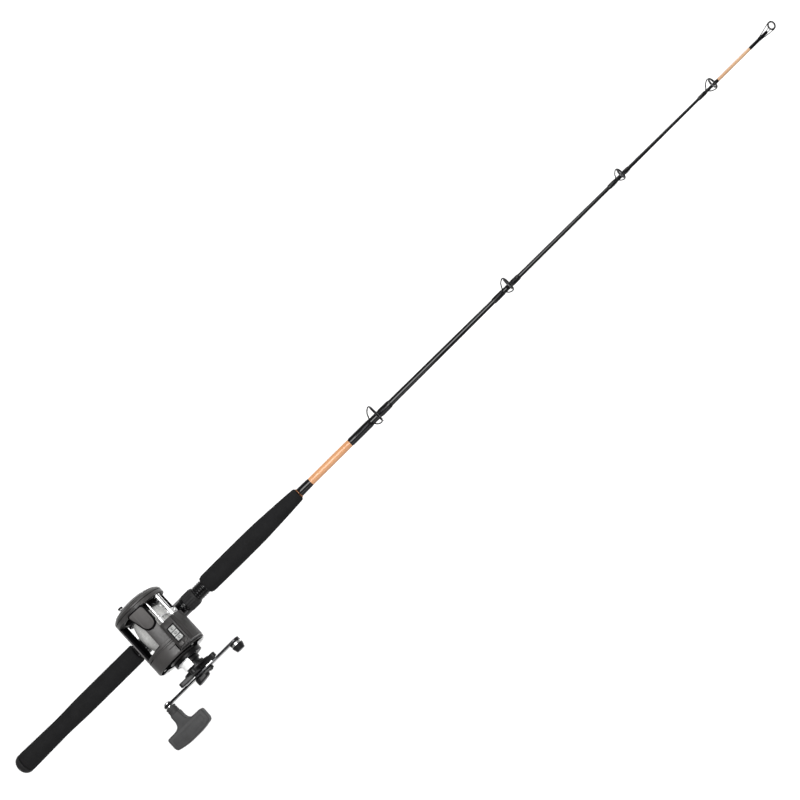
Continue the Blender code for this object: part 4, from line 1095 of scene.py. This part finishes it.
def build_counter():
    start, end = reach_of("counter_housing")
    low, high = corners("counter_housing")
    top = high.z
    outline = [(311.5, 84), (311.5, 99.0), (313.0, 102.2), (316.0, top)]
    outline += [(328.9, top), (329.3, top - 0.6), (330.1, top - 0.9), (330.9, top - 0.9),
        (336.2, 98.0), (336.5, 96.9)]
    outline += [(337.2, 95.6), (341.0, 87.0), (high.x, 76.0), (342.0, 73.0), (338.6, 72.3),
        (331.5, 84.0)]
    case = prism("counter_case", outline, start, end, bevel=0)
    pane_low, pane_high = corners("counter_window")
    room = (-pane_high.y - 0.3, -pane_low.y + 0.3)
    under = lathe("case_under", disc_path(start - 2, end + 2, PLATE + 0.3), SPOOL, "-Y", 160, 0)
    well = lathe("case_well", disc_path(*room, 6.5), WHEEL, "-Y", 64, 0)
    mouth = slab("case_mouth", (pane_low.x - 0.3, -room[1], WHEEL.z),
        (pane_high.x + 0.3, -room[0], top + 2), 0)
    frame_cut = slab("bezel_step", (pane_low.x - 1.4, -room[1] - 1.1, top - 0.7),
        (pane_high.x + 1.2, -room[0] + 1.1, top + 2), 0)
    recess = slab("button_recess", (314.7, -54.0, 98.0), (323.1, -47.2, top + 2), 0)
    groove = slab("case_groove", (310, -47.0, top - 0.5), (337, -46.3, top + 2), 0)
    side = slab("case_side_step", (325.0, -end - 1, top - 1.4), (345, -52.2, top + 2), 0)
    lines = [
        slab("slope_groove_1", (332.3, -50.5, 98.8), (333.0, -13.5, top), 0),
        slab("slope_groove_2", (339.2, -50.5, 86.0), (345, -13.5, 86.8), 0),
    ]
    case = bevelled(carved(case, under, well, mouth, frame_cut, recess, groove, side, *lines), 0.35, 2,
        35)
    foot = prism("case_foot", sector(PLATE + 0.1, PLATE + 1.3, 8, 66, 30), 50.5, end + 0.8, SPOOL,
        bevel=0.4)
    # A near-black strip round the counter's foot: painted shade where the counter meets the casing.
    foot_shade = prism("case_foot_shade", sector(PLATE + 0.1, PLATE + 0.9, 6, 68, 30), 49.8, end + 1.2, SPOOL,
        bevel=0.3)
    piece(gathered(case, foot), "rod", "graphite_dark", "counter_housing", angle=30)
    piece(foot_shade, "rod", "recess", slot="counter_housing")
    rim = slab("bezel", (pane_low.x - 1.2, -room[1] - 0.9, top - 0.9),
        (pane_high.x + 1.0, -room[0] + 0.9, top + 0.1), 0)
    hole = slab("bezel_hole", (pane_low.x, -room[1] + 0.3, top - 3),
        (pane_high.x, -room[0] - 0.3, top + 2), 0)
    piece(bevelled(carved(rim, hole), 0.2, 2), "rod", "recess", slot="counter_housing")
    pane = slab("window_pane", tuple(pane_low), tuple(pane_high), 0.15)
    piece(pane, "rod", "glass", "counter_window")
    axle = lathe("wheel_axle", disc_path(room[0] - 0.5, room[1] + 0.5, 1.2), WHEEL, "-Y", 24, 0)
    piece(axle, "rod", "steel", slot="counter_housing")
    for name in ("hundreds", "tens", "units"):
        node = f"digit_wheel_{name}"
        reach = reach_of(node)
        body = f"{name}_wheel"
        wheel = lathe(f"{name}_wheel_rim", ring_path(*reach, DIGIT_RADIUS, 1.6), WHEEL, "-Y", 80, 0.35)
        piece(wheel, body, "dial", node)
        middle = (reach[0] + reach[1]) / 2
        digits = [digit(f"{name}_{i}", str(i), middle, math.tau * i / 10) for i in range(10)]
        piece(gathered(*digits), body, "numeral", slot=node)
        cell = slab(
            f"{name}_mask", (pane_low.x + 0.3, -middle - 3.0, MASK_BASE), (pane_high.x - 0.3,
                -middle + 3.0, pane_low.z - 0.04), 0
        )
        eye = slab(f"{name}_eye", (WHEEL.x - 2.0, -middle - 2.5, 101),
            (WHEEL.x + 2.0, -middle + 2.5, 104), 0)
        piece(carved(cell, eye), "rod", "dial", slot="counter_housing")
    # Near-black strips between the digit cells: painted shade in the gaps between the wheels.
    for number, near, far in ((1, "hundreds", "tens"), (2, "tens", "units")):
        gap = (sum(reach_of(f"digit_wheel_{near}")) + sum(reach_of(f"digit_wheel_{far}"))) / 4
        low, high = (pane_low.x + 0.3, -gap - 0.6, MASK_BASE), (pane_high.x - 0.3, -gap + 0.6,
            pane_low.z - 0.04)
        piece(slab(f"wheel_gap_shade_{number}", low, high, 0), "rod", "recess", slot="counter_housing")
    low, high = corners("reset_button")
    button = slab("reset_cap", tuple(low), tuple(high), 0.7)
    piece(button, "reset_button", "graphite", "reset_button")


# ---------------------------------------------------------------- the spool and the level wind


def build_spool():
    left, right = reach_of("spool")
    for name, start, end in (("left", left, left + 3.3), ("right", right - 3.1, right)):
        path = [(start, 27.2), (start + 0.6, 27.9), (end - 0.6, 27.9), (end, 27.2), (end, 14.0)]
        path += [(end, 2.6), (start, 2.6), (start, 9.0), (start + 0.8, 11.0), (start + 0.8, 22.5),
            (start, 24.5)]
        nodes = ("spool",) if name == "left" else ()
        flange = lathe(f"spool_flange_{name}", path, SPOOL, "-Y", 128, 0.3)
        piece(flange, "spool", "black_metal", *nodes, slot="spool")
    arbor = lathe("spool_arbor", ring_path(left + 3, right - 3, 12.0, 2.6), SPOOL, "-Y", 72, 0)
    piece(arbor, "spool", "black_metal", slot="spool")

    start, end = reach_of("line_winding")
    middle, half = (start + end) / 2, (end - start) / 2
    turns = 0.95

    def strands(reach, radius, angle):
        if radius < 20:
            return radius
        forward = abs(math.sin(math.pi * (reach / turns - angle / math.tau)))
        backward = abs(math.sin(math.pi * (reach / (turns * 1.9) + 2 * angle / math.tau)))
        return radius - 0.24 + 0.16 * forward + 0.08 * backward

    count = int((end - start) / 0.14)
    crown = []
    for i in range(count + 1):
        f = -1 + 2 * i / count
        crown.append((middle + half * f, 22.8 + 4.6 * (1 - f * f)))
    path = [*crown, (end, 12.3), (start, 12.3)]
    winding = lathe("wound_line", path, SPOOL, "-Y", 180, 0, strands)
    piece(winding, "spool", "line", "line_winding", angle=180)


def build_level_wind():
    low, high = reach_of("worm_tube")
    path = [(low, 4.9), (low + 1.6, 4.9), (low + 2.0, 4.5), (high, 4.5), (high, 3.2), (low, 3.2)]
    casing = lathe("worm_casing", path, WORM, "-Y", 64, 0.3)
    slot = slab("worm_slot", (0, -27.5, -1.3), (8, 26, 1.3), 0, WORM)
    piece(carved(casing, slot), "rod", "chrome", "worm_tube", angle=30)
    low, high = reach_of("guide_rod")
    path = [(low, 0), (low, 1.6), (high, 1.6), (high, 0)]
    piece(lathe("guide_bar", path, GUIDE_ROD, "-Y", 48, 0.3), "rod", "chrome", "guide_rod")

    low, high = reach_of("worm_shaft")
    lead = 13.0

    def crossed(reach, radius, angle):
        if not -25 < reach < 27 or radius < 2.5:
            return radius
        deep = 0.0
        for way in (1, -1):
            off = abs(((reach / lead + way * angle / math.tau) % 1.0) - 0.5) * lead
            deep = max(deep, 1 - min(1.0, off / 0.95) ** 4)
        return radius - 0.75 * deep

    path = [(low, 0), (low, 2.0), (-26.5, 2.0), *((-26 + 0.25 * i, 2.6) for i in range(216))]
    path += [(high, 2.6), (high, 0)]
    piece(lathe("worm_screw", path, WORM, "-Y", 64, 0, crossed), "worm", "steel", "worm_shaft",
        angle=50)

    start, end = reach_of("line_guide")
    body = lathe("carriage", ring_path(start, end, 5.8, 4.8), WORM, "-Y", 72, 0.6)
    shoe = lathe("carriage_shoe", ring_path(start, end, 3.5, 1.9), GUIDE_ROD, "-Y", 48, 0.5)
    rod_off = GUIDE_ROD - SPOOL
    worm_off = WORM - SPOOL
    first = math.degrees(math.atan2(worm_off.z, worm_off.x)) + 9
    last = math.degrees(math.atan2(rod_off.z, rod_off.x)) - 3
    fingers = []
    for name, place in (("rear", start), ("front", end - 2.1)):
        finger = prism(f"finger_{name}", sector(30.2, 34.0, first, last, 20), place + 0.1, place + 2.0,
            SPOOL, bevel=0.5)
        fingers.append(finger)
    middle = (WORM.x, -(start + end) / 2, WORM.z)
    cap = [(5.0, 0), (5.0, 3.4), (7.6, 3.4), (8.2, 2.8), (8.2, 1.4), (7.7, 1.1), (7.7, 0)]
    pawl = lathe("pawl_cap", cap, middle, "X", 48, 0.25)
    pin = lathe("pawl_pin", disc_path(3.0, 6.0, 0.9), middle, "X", 24, 0)
    piece(gathered(body, shoe, *fingers, pawl, pin), "line_guide", "satin", "line_guide", angle=30)


# ---------------------------------------------------------------- the crank and the controls


ARM_FRONT = 92.1


def build_star():
    start, end = reach_of("star_drag")
    neck, hub, step, web = start + 5.3, start + 10.1, start + 14.3, start + 16.3
    path = [(start, 13.2), (neck, 13.2), (neck + 0.8, 10.6), (hub, 10.5), (hub, 14.2), (step, 14.2)]
    path += [(step, 22.0), (web + 0.6, 22.0), (web + 0.6, 12), (end - 0.6, 12), (end, 9), (end, 4.3),
        (start, 4.3)]

    def fluted(reach, radius, angle):
        if hub + 0.3 < reach < step and radius > 13:
            return radius - 0.25 * (0.5 + 0.5 * math.cos(24 * angle))
        return radius

    hub_piece = lathe("star_hub", path, CRANK, "-Y", 144, 0.5, fluted)
    arms = []
    for i in range(5):
        turn = math.radians(90 + 72 * i)
        blade = [(8, -6.4), (20, -5.6), (28, -4.9), (33.2, -4.0), (35.0, -1.8), (35.0, 1.8)]
        blade += [(33.2, 4.0), (28, 4.9), (20, 5.6), (8, 6.4)]
        outline = []
        for out, side in soft(blade, 3.0, True, 5):
            outline.append(
                (out * math.cos(turn) - side * math.sin(turn),
                    out * math.sin(turn) + side * math.cos(turn))
            )
        arms.append(prism(f"star_arm_{i + 1}", outline, web, end, CRANK, bevel=1.3))
    piece(gathered(hub_piece, *arms), "star", "black", "star_drag", angle=30)


def build_crank():
    build_star()
    start, end = reach_of("handle_arm")
    low, high = corners("handle_arm")
    rear, front = KNOB.x - CRANK.x, high.x - CRANK.x - 8.5
    half = [(30, 6.6), (12, 10.2), (-12, 10.2), (-30, 6.2)]
    outline = [(x + front, y) for x, y in arc(8.5, -90, 90, 20)] + half
    outline += [(x + rear, y) for x, y in arc(7.0, 90, 270, 20)] + [(x, -y) for x, y in reversed(half)]
    arm = prism("crank_arm", outline, start, end, CRANK, soften=2.0, bevel=0.6)
    piece(arm, "crank", "black_metal", "handle_arm", angle=30)

    # Light satin strips on the arm's sloping top edges near the hub: polished edges, and painted
    # highlight where those slopes catch the light.
    strips = []
    for side in (1, -1):
        for name, edge in (("rear", [(-27.5, 6.8), (-12, 10.1), (-9, 10.2)]),
                ("front", [(12.5, 10.0), (23.5, 7.9)])):
            outline = [(x, side * (y - 0.3)) for x, y in edge] + [(x, side * (y + 0.25)) for x,
                y in reversed(edge)]
            strips.append(prism(f"arm_edge_{name}_{side}", outline, start + 0.3, start + 1.3, CRANK,
                bevel=0))
    piece(gathered(*strips), "crank", "satin", slot="handle_arm")

    low, high = reach_of("handle_nut")
    cap = [(x - 6.5, y) for x, y in arc(8.6, 90, 270, 24)] + [(x, y) for x, y in arc(7.6, -90, 90, 24)]
    nut = prism("nut_cap", cap, low, high, CRANK, bevel=0)
    tab = [*arc(7.4, 90, 270, 20)] + [(x + 13.0, y) for x, y in arc(5.0, -90, 90, 20)]
    tab = prism("nut_tab", tab, low, low + 4.2, CRANK, bevel=0.9)

    def slanted(p):
        far = max(0.0, (-p.y - low) / (high - low))
        return (p.x, p.y + 0.13 * far * (p.x - 283), p.z)

    nut = bevelled(moved(nut, slanted), 2.4, 5, 50)
    screw_head = lathe("nut_screw", disc_path(low, low + 5.4, 2.6), CRANK + Vector((13, 0, 0)), "-Y",
        40, 0.6)
    piece(gathered(nut, tab, screw_head), "crank", "black", "handle_nut", angle=30)

    high = reach_of("counterweight")[1]
    at = CRANK + Vector((front, 0, 0))
    start = ARM_FRONT
    path = [(start - 4, 0), (start - 4, 2.6), (start, 2.6), (start, 8.4), (start + 1.2, 9.0),
        (start + 1.8, 8.7)]
    path += [(start + 5.4, 8.7), (start + 6.0, 9.0), (start + 7.0, 8.7), (high - 0.6, 6.7),
        (high, 6.0), (high, 0)]
    piece(lathe("weight_body", path, at, "-Y", 72, 0.4), "crank", "black", "counterweight")
    band = [(start + 1.9, 8.6), (start + 2.1, 9.2), (start + 5.1, 9.2), (start + 5.3, 8.6)]
    piece(lathe("weight_band", band, at, "-Y", 72, 0.2), "crank", "chrome", slot="counterweight")

    low, high = reach_of("knob_spindle")
    path = [(low, 0), (low, 4.0), (low + 0.9, 5.6), (low + 2.0, 6.0), (low + 2.9, 6.0),
        (low + 2.9, 3.0)]
    path += [(low + 6.9, 3.0), (low + 6.9, 6.4), (low + 8.3, 6.4), (low + 8.3, 3.0), (high, 3.0),
        (high, 0)]
    piece(lathe("knob_pin", path, KNOB, "-Y", 64, 0.35), "crank", "chrome", "knob_spindle")

    start, end = reach_of("handle_knob")
    bar = end - 25.5
    stem = [(start, 7.3), (start + 0.6, 7.7), (start + 1.9, 7.7), (start + 2.3, 7.1),
        (start + 3.9, 7.1), (start + 4.3, 7.7)]
    stem += [(start + 6.0, 7.7), (start + 6.3, 7.3), (start + 6.9, 7.3), (start + 7.2, 7.7)]
    stem += [(bar + 2, 7.6), (bar + 2, 3.3), (start, 3.3)]
    stem = lathe("knob_stem", stem, KNOB, "-Y", 72, 0.25)
    half = [(7.2, start + 10), (7.4, bar - 8.5), (8.3, bar - 4.8), (10.4, bar - 1.8),
        (14.0, bar + 0.2), (20, bar + 0.8)]
    half += [(31.3, bar + 1.0), (32.5, bar + 4), (32.3, end - 7.5), (30.2, end - 3.4), (20, end - 1.4),
        (10, end - 0.35)]
    outline = [(x, -y) for x, y in half] + [(-x, -y) for x, y in reversed(half)]
    at = (KNOB.x, 0, KNOB.z)
    grip_bar = prism("knob_bar", outline, -8.3, 8.3, at, "Z", 2.6, 0)
    grip_bar = bevelled(grip_bar, 3.0, 5, 50)
    panel = [(27.5, bar + 6.5), (28.0, end - 9.5), (20, end - 6.4), (0, end - 5.0)]
    panel += [(-x, y) for x, y in reversed(panel[:-1])]
    panel = prism("knob_panel", [(x, -y) for x, y in panel], -8.5, 8.5, at, "Z", 2.5, 0.2)
    piece(gathered(stem, grip_bar, panel), "knob", "soft_touch", "handle_knob", angle=30)


def build_controls():
    start, end = reach_of("free_spool_lever")
    hub = lathe("lever_hub", disc_path(start, start + 2.4, 4.0), LEVER, "-Y", 48, 0.4)
    outline = [(-2.6, 2.0), (2.6, -2.6), (17.6, 13.7), (17.6, 15.7), (3.4, 15.7)]
    arm = prism("lever_arm", outline, start + 0.2, start + 2.0, LEVER, soften=1.2, bevel=0.35)
    tab = slab("lever_tab", (3.4, -end, 13.9), (18.8, -start - 0.4, 15.7), 0.6, LEVER)
    ribs = []
    for i in range(3):
        y = -end + 2.4 + 2.2 * i
        ribs.append(slab(f"lever_rib_{i}", (4.6, y, 15.4), (17.6, y + 0.9, 16.1), 0.3, LEVER))
    screw_head = lathe("lever_screw", disc_path(start + 2.0, start + 3.4, 2.4), LEVER, "-Y", 40, 0.4)
    piece(gathered(hub, arm, tab, screw_head, *ribs), "free_spool_lever", "satin", "free_spool_lever",
        angle=30)

    at = axis_of("clicker_button")
    first, last = reach_of("clicker_button")
    path = [(first, 0), (first, 2.6), (first + 0.3, 3.3), (first + 0.8, 3.6), (first + 2.6, 3.6),
        (first + 2.8, 2.2)]
    path += [(first + 3.0, 1.4), (last, 1.4), (last, 0)]
    piece(lathe("clicker_knob", path, at, "-Y", 56, 0.25), "clicker", "black", "clicker_button")
    collar = [(first + 3.0, 1.5), (first + 3.1, 3.0), (first + 4.0, 3.2), (first + 4.2, 1.5)]
    piece(lathe("clicker_collar", collar, at, "-Y", 48, 0.15), "clicker", "satin",
        slot="clicker_button")


# ---------------------------------------------------------------- the parts kept from the CAD

KEPT = {
    "spool_shaft": "steel",
    "bearing_left": "steel",
    "bearing_right": "steel",
    "drive_shaft": "steel",
    "pinion_gear": "brass",
    "main_gear": "brass",
    "spool_cog": "dial",
    "idler_gear": "dial",
    "worm_gear": "dial",
}


def dress_kept_parts():
    for name, look in KEPT.items():
        node = frame["nodes"][name]
        for slot in node.material_slots:
            slot.material = LOOKS[look]


add_camera()
add_studio(floor_material())
build_rod()
for index, guide in enumerate(GUIDES, 1):
    build_guide(index, *guide)
build_tip_top()
build_seat()
build_frame()
build_plates()
build_thumb_rest()
build_counter()
build_spool()
build_level_wind()
build_crank()
build_controls()
dress_kept_parts()
